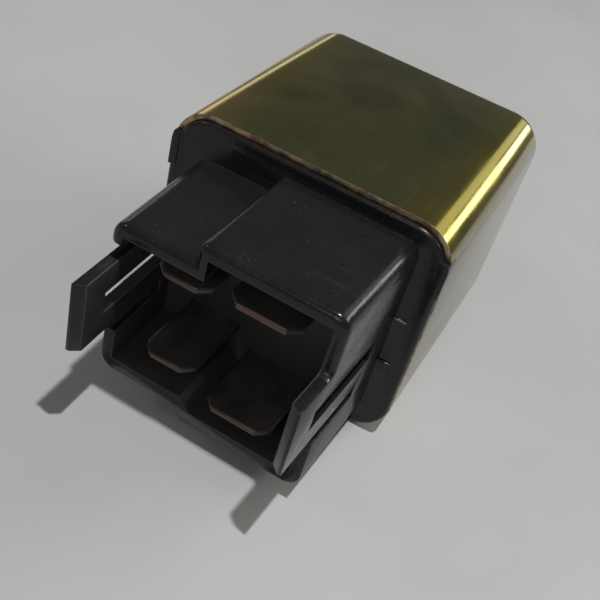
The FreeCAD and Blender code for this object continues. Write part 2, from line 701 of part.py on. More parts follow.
def post_front(s):
    """Y of the far face of the fixed contact terminal's turned-down end."""
    contacts = s.moving_contact_height + s.contact_gap + s.fixed_contact_height
    return leaf_front(s) - s.seat_gap - contacts


def blade_front(s, place, width):
    """The front corners of a blade, from left to right."""
    left = place - width / 2
    right = place + width / 2
    cut = s.blade_corner
    tip = -s.blade_reach
    return [(left, tip + cut), (left + cut, tip), (right - cut, tip), (right, tip + cut)]


def build_coil_terminal(doc, s, name, height):
    """A narrow blade with a solder tail behind the base."""
    body = new_body(doc, s, name)
    outline = new_sketch(body, name + "_outline", "XY_Plane", height)
    left = -s.coil_blade_place - s.coil_blade_width / 2
    right = left + s.coil_blade_width
    back = s.flange_back
    polygon(outline, blade_front(s, -s.coil_blade_place, s.coil_blade_width) + [
        (right, back), (left + s.coil_tail_width, back),
        (left + s.coil_tail_width, back + s.coil_tail), (left, back + s.coil_tail)])
    pad(body, name + "_sheet", outline, s.blade_thickness, both=True)


def build_common_terminal(doc, s):
    """The lower wide blade, with a shoulder and a tail for the braid behind the base."""
    body = new_body(doc, s, "common_terminal")
    outline = new_sketch(body, "common_terminal_outline", "XY_Plane", s.load_blade_low)
    left = s.load_blade_place - s.load_blade_width / 2
    right = left + s.load_blade_width
    far = s.strip_edge
    shoulder = s.flange_back + s.shoulder_gap
    polygon(outline, blade_front(s, s.load_blade_place, s.load_blade_width) + [
        (right, shoulder), (far, shoulder), (far, shoulder + s.tail_length),
        (far - s.tail_width, shoulder + s.tail_length), (far - s.tail_width, shoulder + s.shoulder),
        (left, shoulder + s.shoulder)])
    pad(body, "common_terminal_sheet", outline, s.blade_thickness, both=True)


def build_fixed_terminal(doc, s):
    """The upper wide blade, whose strip runs past the coil and turns down for the contact."""
    body = new_body(doc, s, "fixed_contact_terminal")
    outline = new_sketch(body, "fixed_strip_outline", "XY_Plane", s.load_blade_high)
    left = s.load_blade_place - s.load_blade_width / 2
    right = left + s.load_blade_width
    far = s.strip_edge
    near = far - s.strip_width
    shoulder = s.flange_back + s.shoulder_gap
    polygon(outline, blade_front(s, s.load_blade_place, s.load_blade_width) + [
        (right, shoulder), (far, shoulder), (far, post_front(s)), (near, post_front(s)),
        (near, shoulder + s.shoulder), (left, shoulder + s.shoulder)])
    pad(body, "fixed_strip", outline, s.blade_thickness, both=True)
    top = s.load_blade_high + s.blade_thickness / 2
    post = new_sketch(body, "fixed_post_outline", "XZ_Plane", post_front(s))
    rectangle(post, near, far, s.post_low, top)
    pad(body, "fixed_post", post, s.blade_thickness)
    dress(body, "Fillet", "fixed_bend", s.bend,
          lambda edge: lies_at(edge, "y", post_front(s)) and lies_at(edge, "z", top))
    inner = top - s.blade_thickness
    dress(body, "Fillet", "fixed_inner_bend", s.bend - s.blade_thickness,
          lambda edge: lies_at(edge, "y", post_front(s) - s.blade_thickness)
          and lies_at(edge, "z", inner))
    hole = new_sketch(body, "fixed_contact_hole", "XZ_Plane", post_front(s))
    circle(hole, s.contact_place, s.magnet_height, s.contact_shank + s.seat_gap)
    pocket(body, "fixed_hole", hole, s.blade_thickness * 1.5, forwards=True)


def build_yoke(doc, s):
    """The L-shaped iron yoke: foot under the coil, leg beside it, lug for the spring."""
    body = new_body(doc, s, "yoke")
    profile = new_sketch(body, "yoke_profile", "XY_Plane", s.magnet_height)
    outer = yoke_outer(s)
    inner = outer + s.yoke_thickness
    foot = s.flange_back + s.yoke_stand
    end = armature_front(s) - s.seat_gap
    polygon(profile, [(outer, foot), (outer + s.yoke_foot, foot),
                      (outer + s.yoke_foot, foot_back(s)), (inner, foot_back(s)),
                      (inner, end), (outer, end)])
    pad(body, "yoke_plate", profile, s.yoke_width, both=True)
    tab = new_sketch(body, "yoke_tab_outline", "XY_Plane", s.magnet_height)
    rectangle(tab, outer, inner, s.flange_back - s.yoke_tab, foot + s.yoke_thickness / 2)
    pad(body, "yoke_base_tab", tab, s.yoke_tab_width, both=True)
    lug = new_sketch(body, "spring_lug_outline", "XY_Plane", s.magnet_height)
    near = s.flange_back + s.spring_lug_place
    rectangle(lug, outer - s.spring_lug, outer + s.yoke_thickness / 2, near,
              near + s.spring_lug_thickness)
    pad(body, "yoke_spring_lug", lug, s.spring_lug_width, both=True)
    holes = new_sketch(body, "core_hole", "XZ_Plane", foot)
    circle(holes, coil_axis(s), s.magnet_height, s.core_radius + s.seat_gap)
    pocket(body, "yoke_core_hole", holes, s.yoke_thickness * 1.5)
    anchor = new_sketch(body, "spring_anchor_hole", "XZ_Plane", near)
    circle(anchor, spring_leg_place(s), s.magnet_height, s.spring_wire + s.seat_gap * 2)
    pocket(body, "yoke_anchor_hole", anchor, s.spring_lug_thickness * 1.5)


def build_core(doc, s):
    """The turned iron core: riveted end in the yoke's foot, shaft, and pole head."""
    body = new_body(doc, s, "iron_core")
    start = s.flange_back + s.yoke_stand - s.core_stake
    back = pole_back(s)
    profile = new_sketch(body, "core_section", "XZ_Plane", start)
    circle(profile, coil_axis(s), s.magnet_height, s.core_radius)
    pad(body, "core_shaft", profile, back - start + s.pole_thickness / 2, backwards=True)
    head = new_sketch(body, "pole_section", "XZ_Plane", back)
    circle(head, coil_axis(s), s.magnet_height, s.pole_radius)
    pad(body, "pole_head", head, s.pole_thickness, backwards=True)
    dress(body, "Chamfer", "stake_edge", s.core_stake, lambda edge: lies_at(edge, "y", start))


def build_bobbin(doc, s):
    """The moulded bobbin: tube, two square flanges and notches for the winding's ends."""
    body = new_body(doc, s, "bobbin")
    axis = coil_axis(s)
    start = bobbin_start(s)
    half = s.bobbin_side / 2
    for name, place in (("rear", start), ("front", start + s.bobbin_length - s.bobbin_flange)):
        flange = new_sketch(body, "%s_flange_outline" % name, "XZ_Plane", place)
        rounded_rectangle(flange, axis - half, axis + half, s.magnet_height - half,
                          s.magnet_height + half, s.bobbin_corner)
        pad(body, "%s_flange" % name, flange, s.bobbin_flange, backwards=True)
        if name == "rear":
            tube = new_sketch(body, "tube_outline", "XZ_Plane", start)
            circle(tube, axis, s.magnet_height, tube_radius(s))
            pad(body, "tube", tube, s.bobbin_length, backwards=True)
    bore = new_sketch(body, "bore_outline", "XZ_Plane", start)
    circle(bore, axis, s.magnet_height, s.core_radius + s.seat_gap)
    pocket(body, "bore", bore)
    notches = new_sketch(body, "lead_notches_outline", "XZ_Plane", start)
    left = lead_place(s) - s.lead_notch / 2
    right = lead_place(s) + s.lead_notch / 2
    far = s.bobbin_side
    for sign in (1, -1):
        inner = s.magnet_height + (lead_rest(s) - s.lead_radius - s.seat_gap * 2) * sign
        rectangle(notches, left, right, inner, s.magnet_height + far * sign)
    pocket(body, "lead_notches", notches, s.bobbin_flange * 1.5)


def tube_radius(s):
    """Outside radius of the bobbin's tube."""
    return s.core_radius + s.seat_gap + s.bobbin_wall


def lead_place(s):
    """X of both coil leads, over the coil terminals' tails."""
    return -s.coil_blade_place - s.coil_blade_width / 2 + s.coil_tail_width / 2


def lead_rest(s):
    """Height above the coil axis at which a lead lies on the tape."""
    away = s.winding_radius + s.tape_thickness + s.seat_gap * 2 + s.lead_radius
    aside = lead_place(s) - coil_axis(s)
    return (away * away - aside * aside).root()


def build_sleeve(doc, s, name, inner, outer):
    """A sleeve between the bobbin's flanges, such as the winding or its tape."""
    body = new_body(doc, s, name)
    gap = s.seat_gap
    start = bobbin_start(s) + s.bobbin_flange + gap
    section = new_sketch(body, name + "_section", "XZ_Plane", start)
    circle(section, coil_axis(s), s.magnet_height, outer)
    circle(section, coil_axis(s), s.magnet_height, inner)
    length = s.bobbin_length - s.bobbin_flange * 2 - gap * 2
    pad(body, name + "_sleeve", section, length, backwards=True)


def build_winding(doc, s):
    """The copper winding and the tape that covers it."""
    build_sleeve(doc, s, "coil_winding", tube_radius(s) + s.seat_gap, s.winding_radius)
    cover = s.winding_radius + s.seat_gap
    build_sleeve(doc, s, "coil_tape", cover, cover + s.tape_thickness)


def spring_axis(s):
    """X of the return spring's axis, midway along the yoke's lug."""
    return yoke_outer(s) - s.spring_lug / 2 - s.spring_wire


def spring_leg_place(s):
    """X of the spring's straight legs."""
    return spring_axis(s) + s.spring_radius


def build_armature(doc, s):
    """The armature plate, with a narrow tail outside the yoke for the return spring."""
    body = new_body(doc, s, "armature")
    front = armature_front(s)
    outer = yoke_outer(s)
    half = s.armature_height / 2
    tail = s.armature_tail_height / 2
    end = coil_axis(s) + s.armature_overhang
    mid = s.magnet_height
    outline = new_sketch(body, "armature_outline", "XZ_Plane", front)
    polygon(outline, [(outer - s.armature_tail, mid - tail), (outer, mid - tail),
                      (outer, mid - half), (end, mid - half), (end, mid + half),
                      (outer, mid + half), (outer, mid + tail),
                      (outer - s.armature_tail, mid + tail)])
    pad(body, "armature_plate", outline, s.armature_thickness, backwards=True)
    holes = new_sketch(body, "armature_holes_outline", "XZ_Plane", front)
    circle(holes, spring_leg_place(s), mid, s.spring_wire + s.seat_gap * 2)
    for sign in (1, -1):
        circle(holes, coil_axis(s) + s.rivet_offset * sign, mid, s.rivet_radius + s.seat_gap)
    pocket(body, "armature_holes", holes, s.armature_thickness * 1.5)


def build_leaf(doc, s):
    """The contact leaf on the armature's back, with a tab for the braid at its free end."""
    body = new_body(doc, s, "contact_leaf")
    mid = s.magnet_height
    wide = s.leaf_height / 2
    neck = s.leaf_neck / 2
    start = coil_axis(s) - s.leaf_start
    shoulder = coil_axis(s) + s.armature_overhang
    end = s.contact_place + s.leaf_end
    tab = end - s.braid_width * 1.5
    outline = new_sketch(body, "leaf_outline", "XZ_Plane", leaf_front(s))
    polygon(outline, [(start, mid - wide), (shoulder, mid - wide), (shoulder, mid - neck),
                      (tab, mid - neck), (tab, mid - neck - s.leaf_tab),
                      (end, mid - neck - s.leaf_tab), (end, mid + neck),
                      (shoulder, mid + neck), (shoulder, mid + wide), (start, mid + wide)])
    pad(body, "leaf_sheet", outline, s.leaf_thickness, backwards=True)
    holes = new_sketch(body, "leaf_holes_outline", "XZ_Plane", leaf_front(s))
    for sign in (1, -1):
        circle(holes, coil_axis(s) + s.rivet_offset * sign, mid, s.rivet_radius + s.seat_gap)
    circle(holes, s.contact_place, mid, s.contact_shank + s.seat_gap)
    pocket(body, "leaf_holes", holes, s.leaf_thickness * 2)


def build_stepped_pin(doc, s, name, x, discs):
    """A rivet or contact along Y: a row of discs, each (start, length, radius)."""
    body = new_body(doc, s, name)
    for n, (start, length, radius) in enumerate(discs, 1):
        section = new_sketch(body, "%s_section_%d" % (name, n), "XZ_Plane", start)
        circle(section, x, s.magnet_height, radius)
        pad(body, "%s_disc_%d" % (name, n), section, length, backwards=True)
    return body


def build_rivets_and_contacts(doc, s):
    """The two armature rivets, flush on the pole side, and the pair of contacts."""
    gap = s.seat_gap
    front = armature_front(s)
    leaf_back = leaf_front(s) + s.leaf_thickness
    for name, sign in (("armature_rivet_left", -1), ("armature_rivet_right", 1)):
        shank = leaf_back - front
        build_stepped_pin(doc, s, name, coil_axis(s) + s.rivet_offset * sign, [
            (front + gap, shank, s.rivet_radius),
            (leaf_back + gap, s.rivet_head_height, s.rivet_head)])
    head = leaf_front(s) - gap - s.moving_contact_height
    moving = build_stepped_pin(doc, s, "moving_contact", s.contact_place, [
        (head, s.moving_contact_height, s.moving_contact_radius),
        (head + s.moving_contact_height, s.leaf_thickness + gap * 2, s.contact_shank),
        (leaf_back + gap, s.contact_upset_height, s.contact_upset)])
    dress(moving, "Fillet", "moving_contact_round", s.moving_contact_height / 2,
          lambda edge: lies_at(edge, "y", head))
    post = post_front(s)
    upset = post - s.blade_thickness - gap - s.contact_upset_height
    fixed = build_stepped_pin(doc, s, "fixed_contact", s.contact_place, [
        (upset, s.contact_upset_height, s.contact_upset),
        (upset + s.contact_upset_height, s.blade_thickness + gap * 2, s.contact_shank),
        (post + gap, s.fixed_contact_height - gap, s.fixed_contact_radius)])
    dress(fixed, "Fillet", "fixed_contact_round", s.fixed_contact_height / 3,
          lambda edge: lies_at(edge, "y", post + s.fixed_contact_height))


def octagon(sketch, x, y, radius):
    """An eight-sided outline round a place."""
    turns = [math.radians(22.5 + 45 * n) for n in range(8)]
    polygon(sketch, [(x + radius * math.cos(turn), y + radius * math.sin(turn))
                     for turn in turns])


def guide_line(sketch, x, length):
    """A construction line along the sketch's upright axis, to turn a profile about."""
    ends = [FreeCAD.Vector(x.value, y, 0) for y in (0, length.value)]
    shape = sketch.addGeometry(Part.LineSegment(*ends), True)
    pin_point(sketch, shape, 1, x, ZERO)
    pin_point(sketch, shape, 2, x, length)


def build_spring(doc, s):
    """The return spring: a helix between the yoke's lug and the armature's tail."""
    body = new_body(doc, s, "return_spring")
    lug = s.flange_back + s.spring_lug_place
    start = lug + s.spring_lug_thickness + s.spring_leg
    stop = armature_front(s) - s.spring_leg
    section = new_sketch(body, "spring_wire_section", "XY_Plane", s.magnet_height)
    octagon(section, spring_leg_place(s), start, s.spring_wire)
    guide_line(section, spring_axis(s), start)
    coil = body.newObject("PartDesign::AdditiveHelix", "spring_coil")
    coil.Profile = section
    coil.ReferenceAxis = (section, ["Axis0"])
    coil.Mode = "height-turns-angle"
    coil.setExpression("Height", (stop - start).formula)
    coil.setExpression("Turns", s.spring_turns.formula)
    body.Document.recompute()
    bite = s.spring_wire / 2
    for name, place, length, backwards in (
            ("lug_leg", start + bite, start - lug + s.spring_hook + bite, False),
            ("tail_leg", stop - bite,
             s.spring_leg + s.armature_thickness + s.spring_hook + bite, True)):
        leg = new_sketch(body, name + "_section", "XZ_Plane", place)
        circle(leg, spring_leg_place(s), s.magnet_height, s.spring_wire * 1.1)
        pad(body, name, leg, length, backwards=backwards)


def build_stop(doc, s):
    """The back stop: a strip on the bobbin's flanges that hooks behind the armature."""
    body = new_body(doc, s, "back_stop")
    low = s.magnet_height + s.bobbin_side / 2 + s.seat_gap
    top = low + s.stop_thickness
    start = bobbin_start(s)
    near = leaf_front(s)
    far = near + s.stop_thickness
    hook = s.magnet_height + s.armature_height / 2 - s.stop_overlap
    inside = start + s.bobbin_flange + s.seat_gap
    outside = start + s.bobbin_length - s.bobbin_flange - s.seat_gap
    lip = low - s.stop_lip
    thick = s.stop_thickness
    profile = new_sketch(body, "stop_profile", "YZ_Plane", coil_axis(s))
    polygon(profile, [(start, low), (inside, low), (inside, lip), (inside + thick, lip),
                      (inside + thick, low), (outside - thick, low), (outside - thick, lip),
                      (outside, lip), (outside, low), (near, low), (near, hook),
                      (far, hook), (far, top), (start, top)])
    pad(body, "stop_strip", profile, s.stop_width, both=True)


def s_bend_path(sketch, points, radius):
    """A run, two equal arcs turning up and back, and a last run to the end point."""
    start, turn, finish = points
    rise = finish[1].value - start[1].value
    angle = math.acos(1 - abs(rise) / (2 * radius.value))
    sign = 1 if rise > 0 else -1
    half_run = radius.value * math.sin(angle)
    y0, z0 = turn[0].value, start[1].value
    mid_y, mid_z = y0 + half_run, z0 + rise / 2
    end_y, end_z = y0 + 2 * half_run, finish[1].value
    vector = FreeCAD.Vector
    sketch.addGeometry(Part.LineSegment(vector(start[0].value, z0, 0), vector(y0, z0, 0)), False)
    for centre, begin in ((vector(y0, z0 + sign * radius.value, 0), -sign * math.pi / 2),
                          (vector(end_y, end_z - sign * radius.value, 0), sign * math.pi / 2)):
        whole = Part.Circle(centre, vector(0, 0, 1), radius.value)
        first, last = sorted((begin, begin + sign * angle))
        sketch.addGeometry(Part.ArcOfCircle(whole, first, last), False)
    sketch.addGeometry(
        Part.LineSegment(vector(end_y, end_z, 0), vector(finish[0].value, end_z, 0)), False)
    near_ends = (1, 2) if sign > 0 else (2, 1)
    far_ends = (2, 1) if sign > 0 else (1, 2)
    join = Sketcher.Constraint
    sketch.addConstraint(join("Tangent", 0, 2, 1, near_ends[0]))
    sketch.addConstraint(join("Tangent", 1, near_ends[1], 2, far_ends[0]))
    sketch.addConstraint(join("Tangent", 2, far_ends[1], 3, 1))
    sketch.addConstraint(join("Horizontal", 0))
    sketch.addConstraint(join("Horizontal", 3))
    set_radius(sketch, 1, radius)
    set_radius(sketch, 2, radius)
    pin_point(sketch, 0, 1, *start)
    index = sketch.addConstraint(join("DistanceX", -1, 1, 0, 2, turn[0].value))
    sketch.setExpression("Constraints[%d]" % index, turn[0].formula)
    pin_point(sketch, 3, 2, *finish)
    return (mid_y, mid_z)


def sweep(body, name, profile, spine):
    """A section carried along a path."""
    item = body.newObject("PartDesign::AdditivePipe", name)
    item.Profile = profile
    item.Spine = (spine, [""])
    item.Transition = "Right corner"
    body.Document.recompute()
    return item


def build_braid(doc, s):
    """The flexible braid from the common terminal's tail to the contact leaf's tab."""
    body = new_body(doc, s, "flexible_braid")
    far = s.strip_edge
    x = far - s.tail_width / 2
    half = s.braid_thickness / 2
    low = s.load_blade_low + s.blade_thickness / 2 + s.seat_gap + half
    start = s.flange_back + s.shoulder_gap + s.shoulder
    high = s.magnet_height - s.leaf_neck / 2 - s.leaf_tab + half + s.seat_gap * 2
    spine = new_sketch(body, "braid_path", "YZ_Plane", x)
    s_bend_path(spine, [(start, low), (leaf_front(s) - s.braid_run, low),
                        (leaf_front(s) - s.seat_gap, high)], s.braid_bend)
    section = new_sketch(body, "braid_section", "XZ_Plane", start)
    rectangle(section, x - s.braid_width / 2, x + s.braid_width / 2, low - half, low + half)
    sweep(body, "braid_sweep", section, spine)


def build_lead(doc, s, name, height, sign):
    """A coil lead from a terminal's tail, clear of the yoke's foot, on to the tape."""
    body = new_body(doc, s, name)
    x = lead_place(s)
    tail = height + (s.blade_thickness / 2 + s.lead_radius + s.seat_gap) * sign
    rest = s.magnet_height + lead_rest(s) * sign
    beside = s.magnet_height + (s.yoke_width / 2 + s.lead_radius + s.lead_clear) * sign
    level = rest + s.seat_gap * sign
    for other in (tail, beside):
        level = level.larger(other) if sign > 0 else level.smaller(other)
    start = s.flange_back + s.seat_gap
    landing = bobbin_start(s) + s.bobbin_flange + s.seat_gap * 2
    spine = new_sketch(body, name + "_path", "YZ_Plane", x)
    polyline(spine, [(start, tail), (start + s.coil_tail / 2, tail),
                     (start + s.coil_tail, level), (foot_back(s), level), (landing, rest),
                     (landing + s.lead_end, rest)])
    section = new_sketch(body, name + "_section", "XZ_Plane", start)
    circle(section, x, tail, s.lead_radius)
    sweep(body, name + "_wire", section, spine)


def build_all(doc, s):
    """Every piece of the relay."""
    build_can(doc, s)
    build_base(doc, s)
    build_coil_terminal(doc, s, "coil_terminal_upper", s.coil_blade_high)
    build_coil_terminal(doc, s, "coil_terminal_lower", s.coil_blade_low)
    build_fixed_terminal(doc, s)
    build_common_terminal(doc, s)
    build_yoke(doc, s)
    build_core(doc, s)
    build_bobbin(doc, s)
    build_winding(doc, s)
    build_armature(doc, s)
    build_leaf(doc, s)
    build_rivets_and_contacts(doc, s)
    build_spring(doc, s)
    build_stop(doc, s)
    build_braid(doc, s)
    build_lead(doc, s, "coil_lead_upper", s.coil_blade_high, 1)
    build_lead(doc, s, "coil_lead_lower", s.coil_blade_low, -1)


def check_document(doc):
    """Stop if any feature failed or any sub-part is empty, broken or in pieces."""
    for item in doc.Objects:
        for word in ("Invalid", "Error"):
            if word in item.State:
                raise RuntimeError("%s is %s" % (item.Name, item.State))
    for body in NODES:
        shape = body.Shape
        if shape.isNull() or not shape.isValid() or len(shape.Solids) != 1:
            raise RuntimeError("%s has no single valid solid" % body.Label)


def write_parts():
    """One STEP file for each sub-part."""
    os.makedirs("parts", exist_ok=True)
    for body in NODES:
        body.Shape.exportStep("parts/%s.step" % body.Label)
        box = body.Shape.BoundBox
        print("%-24s %9.2f mm3  x %6.2f..%6.2f  y %6.2f..%6.2f  z %5.2f..%5.2f" % (
            body.Label, body.Shape.Volume, box.XMin, box.XMax, box.YMin, box.YMax,
            box.ZMin, box.ZMax))


def main():
    doc = FreeCAD.newDocument("relay")
    sizes = make_sheet(doc)
    build_all(doc, sizes)
    doc.recompute()
    check_document(doc)
    write_parts()


main()
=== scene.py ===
# %% [markdown]
# # An automotive relay, dressed for its portrait
#
# The relay comes from CAD as a set of closed solids: a drawn steel can, a black moulded
# base with a stepped plug shroud, four flat blades and the mechanism inside. This lesson
# keeps those solids and gives each surface the finish of the real part. It then adds the
# small marks that tools leave, lays the relay on a pale table and lights it.

# %% Load the CAD model
import math

import bpy
from mathutils import Matrix, Vector


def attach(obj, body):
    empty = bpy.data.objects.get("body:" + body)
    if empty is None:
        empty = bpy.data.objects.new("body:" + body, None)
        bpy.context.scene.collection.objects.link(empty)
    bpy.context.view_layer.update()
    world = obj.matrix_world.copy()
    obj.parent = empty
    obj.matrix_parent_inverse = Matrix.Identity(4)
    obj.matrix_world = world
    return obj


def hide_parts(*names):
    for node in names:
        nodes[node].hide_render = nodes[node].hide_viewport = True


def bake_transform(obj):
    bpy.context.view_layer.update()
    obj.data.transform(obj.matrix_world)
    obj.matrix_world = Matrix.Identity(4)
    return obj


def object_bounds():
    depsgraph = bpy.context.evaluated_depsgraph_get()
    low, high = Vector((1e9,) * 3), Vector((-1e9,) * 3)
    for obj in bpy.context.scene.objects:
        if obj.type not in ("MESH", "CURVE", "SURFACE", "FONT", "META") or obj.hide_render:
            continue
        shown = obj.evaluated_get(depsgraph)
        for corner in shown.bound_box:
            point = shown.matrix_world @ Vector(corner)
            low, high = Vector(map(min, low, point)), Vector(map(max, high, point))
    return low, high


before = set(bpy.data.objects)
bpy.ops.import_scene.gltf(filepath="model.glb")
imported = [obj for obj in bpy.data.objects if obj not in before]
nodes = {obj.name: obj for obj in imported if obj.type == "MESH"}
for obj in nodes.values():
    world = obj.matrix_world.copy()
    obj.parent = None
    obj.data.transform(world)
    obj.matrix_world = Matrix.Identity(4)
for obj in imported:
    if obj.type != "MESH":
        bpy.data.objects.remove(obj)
cad_low, cad_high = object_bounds()
MM = 0.001
bpy.ops.object.select_all(action="DESELECT")
print("CAD box in mm:", [round(v / MM, 2) for v in (*cad_low, *cad_high)])

# %% [markdown]
# ## Soft edges for moulded and stamped parts
#
# No mould and no press leaves an edge that is truly sharp, and it is the tiny round along
# each edge that catches the light. The CAD solids keep only the larger rounds. A Bevel
# node could fake the others in each material, but then the meshes would stay sharp. So
# the can, the base, the blades and the larger pieces inside are copied, cleaned of their
# loose triangles and given a narrow bevel on every edge sharper than the given angle. The
# copies stand for the CAD nodes.

# %% Helper for softened copies
SHARP = math.radians(32.0)
FLAT = math.radians(0.5)
WELD = 0.004 * MM
ROUND_SEGMENTS = 2


def softened(name, width):
    """A copy of a CAD node with all its sharp edges rounded, which replaces it."""
    piece = bpy.data.objects.new(name + "_soft", nodes[name].data.copy())
    piece.data.materials.clear()
    bpy.context.collection.objects.link(piece)
    bpy.ops.object.select_all(action="DESELECT")
    bpy.context.view_layer.objects.active = piece
    piece.select_set(True)
    bpy.ops.object.mode_set(mode="EDIT")
    bpy.ops.mesh.select_all(action="SELECT")
    bpy.ops.mesh.remove_doubles(threshold=WELD)
    bpy.ops.mesh.dissolve_limited(angle_limit=FLAT)
    bpy.ops.object.mode_set(mode="OBJECT")
    rounding = piece.modifiers.new("rounding", "BEVEL")
    rounding.width = width
    rounding.segments = ROUND_SEGMENTS
    rounding.limit_method = "ANGLE"
    rounding.angle_limit = SHARP
    rounding.use_clamp_overlap = True
    bpy.ops.object.modifier_apply(modifier=rounding.name)
    bpy.ops.object.shade_smooth_by_angle(angle=SHARP)
    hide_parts(name)
    piece.select_set(False)
    print(piece.name, len(piece.data.polygons), "faces")
    return piece


# %% Softened can, base, blades, iron and bobbin
SOFT_PARTS = {
    "can": (0.20 * MM, "can_coating", "relay_body"),
    "base": (0.16 * MM, "black_nylon", "relay_body"),
    "coil_terminal_upper": (0.28 * MM, "blade_metal", "relay_body"),
    "coil_terminal_lower": (0.28 * MM, "blade_metal", "relay_body"),
    "fixed_contact_terminal": (0.28 * MM, "blade_metal", "relay_body"),
    "common_terminal": (0.28 * MM, "blade_metal", "relay_body"),
    "yoke": (0.14 * MM, "magnet_iron", "relay_body"),
    "bobbin": (0.12 * MM, "bobbin_nylon", "relay_body"),
    "back_stop": (0.08 * MM, "stop_steel", "relay_body"),
    "armature": (0.12 * MM, "magnet_iron", "armature_group"),
}
soft = {}
for name, (width, slot, body) in SOFT_PARTS.items():
    soft[name] = softened(name, width)
    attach(soft[name], body)

# %% [markdown]
# ## Spring and braid across the hinge
#
# Two pieces join the fixed side to the moving one. The return spring hooks into the
# yoke's lug and the armature's tail, and the copper braid carries the load current from
# the common terminal to the leaf. Both give way when the armature moves, and a copy that
# rode on one side alone would tear off the other. So each is softened like the other
# pieces and its place is baked into its mesh, with no parent on either side.

# %% Spring and braid across the hinge
GIVING_PARTS = {
    "return_spring": (0.04 * MM, "spring_steel", 1.8 * MM, 2.6 * MM),
    "flexible_braid": (0.10 * MM, "braid_copper", 3.0 * MM, 1.2 * MM),
}
for name, (width, slot, held, carried) in GIVING_PARTS.items():
    soft[name] = softened(name, width)
    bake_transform(soft[name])

# %% [markdown]
# ## Helpers for materials
#
# Every finish is a tree of shader nodes. The trees could be wired by hand in the node
# editor, but a finish has dozens of nodes, and a few short helpers keep them readable:
# they start a material, add a node with its values, make a pattern, and turn a number
# from 0 to 1 into colours. Patterns read Object coordinates, which are metres in the CAD
# frame, so a scale of 1000 gives a pattern about a millimetre across.

# %% Helpers that start a material and fill its tree
def start_material(name, colour, roughness, metallic=0.0, coat=0.0, coat_roughness=0.1):
    """A material with a Principled shader, and nothing linked to it yet."""
    material = bpy.data.materials.new(name)
    material.use_nodes = True
    tree = material.node_tree
    shader = tree.nodes["Principled BSDF"]
    shader.inputs["Base Color"].default_value = (*colour, 1.0)
    shader.inputs["Roughness"].default_value = roughness
    shader.inputs["Metallic"].default_value = metallic
    shader.inputs["Coat Weight"].default_value = coat
    shader.inputs["Coat Roughness"].default_value = coat_roughness
    return material, tree, shader


def add(tree, kind, values=None, **settings):
    """A node of one kind, with settings such as its mode, and values for its sockets."""
    node = tree.nodes.new(kind)
    for key, value in settings.items():
        setattr(node, key, value)
    for socket, value in (values or {}).items():
        if isinstance(value, bpy.types.NodeSocket):
            tree.links.new(value, node.inputs[socket])
        else:
            node.inputs[socket].default_value = value
    return node


def connect(tree, shader, patterns):
    """Patterns linked to a shader's sockets, each by the socket's label."""
    for label, pattern in patterns.items():
        tree.links.new(pattern, shader.inputs[label])


# %% Helpers for patterns
def object_coordinates(tree):
    """Object coordinates, in metres in the CAD frame."""
    return add(tree, "ShaderNodeTexCoord").outputs["Object"]


def stretched(tree, scale, turn=(0.0, 0.0, 0.0)):
    """Object coordinates multiplied by a scale for each axis, and turned."""
    values = {"Vector": object_coordinates(tree), "Scale": scale, "Rotation": turn}
    return add(tree, "ShaderNodeMapping", values).outputs["Vector"]


def along_axes(tree, vector):
    """A vector's three parts, by the labels X, Y and Z."""
    return add(tree, "ShaderNodeSeparateXYZ", {"Vector": vector}).outputs


def noise(tree, vector, scale, detail=3.0, roughness=0.5, distortion=0.0):
    """A noise texture's value, from 0 to 1."""
    values = {"Vector": vector, "Scale": scale, "Detail": detail,
              "Roughness": roughness, "Distortion": distortion}
    return add(tree, "ShaderNodeTexNoise", values).outputs["Fac"]


# %% Helpers for values, colours and relief
# A Mix node has sockets for every kind of data: these are the numbers of its colour ones.
MIX_AMOUNT, MIX_FIRST, MIX_SECOND, MIX_RESULT = 0, 6, 7, 2


def remap(tree, value, low, high, to_low=0.0, to_high=1.0):
    """A value moved from one range to another, and held inside it."""
    values = {"Value": value, "From Min": low, "From Max": high,
              "To Min": to_low, "To Max": to_high}
    return add(tree, "ShaderNodeMapRange", values).outputs["Result"]


def mix(tree, amount, first, second):
    """Two colours mixed by an amount."""
    values = {MIX_AMOUNT: amount}
    for number, colour in ((MIX_FIRST, first), (MIX_SECOND, second)):
        linked = isinstance(colour, bpy.types.NodeSocket)
        values[number] = colour if linked else (*colour, 1.0)
    return add(tree, "ShaderNodeMix", values, data_type="RGBA").outputs[MIX_RESULT]


def calculate(tree, operation, first, second=0.5):
    """One sum on two values."""
    return add(tree, "ShaderNodeMath", {0: first, 1: second}, operation=operation).outputs[0]


def times(tree, first, second):
    """Two values multiplied."""
    return calculate(tree, "MULTIPLY", first, second)


def raised(tree, value, mask, amount):
    """A value raised by an amount where a mask is 1, or lowered by an amount below 0."""
    return calculate(tree, "ADD", value, times(tree, mask, amount))


def bump(tree, height, distance):
    """A Bump node's normal for a height pattern of a real depth in metres."""
    values = {"Height": height, "Distance": distance}
    return add(tree, "ShaderNodeBump", values).outputs["Normal"]


# %% Helpers for node groups
def start_group(name, inputs, outputs):
    """An empty node group with number inputs and number outputs."""
    group = bpy.data.node_groups.new(name, "ShaderNodeTree")
    for label, value in inputs:
        socket = group.interface.new_socket(label, in_out="INPUT", socket_type="NodeSocketFloat")
        socket.default_value = value
    for label in outputs:
        group.interface.new_socket(label, in_out="OUTPUT", socket_type="NodeSocketFloat")
    entry = group.nodes.new("NodeGroupInput")
    leave = group.nodes.new("NodeGroupOutput")
    return group, entry.outputs, leave.inputs


def use_group(tree, group, **values):
    """A node group placed in a material, with its own values."""
    labelled = {label.replace("_", " "): value for label, value in values.items()}
    return add(tree, "ShaderNodeGroup", labelled, node_tree=group).outputs


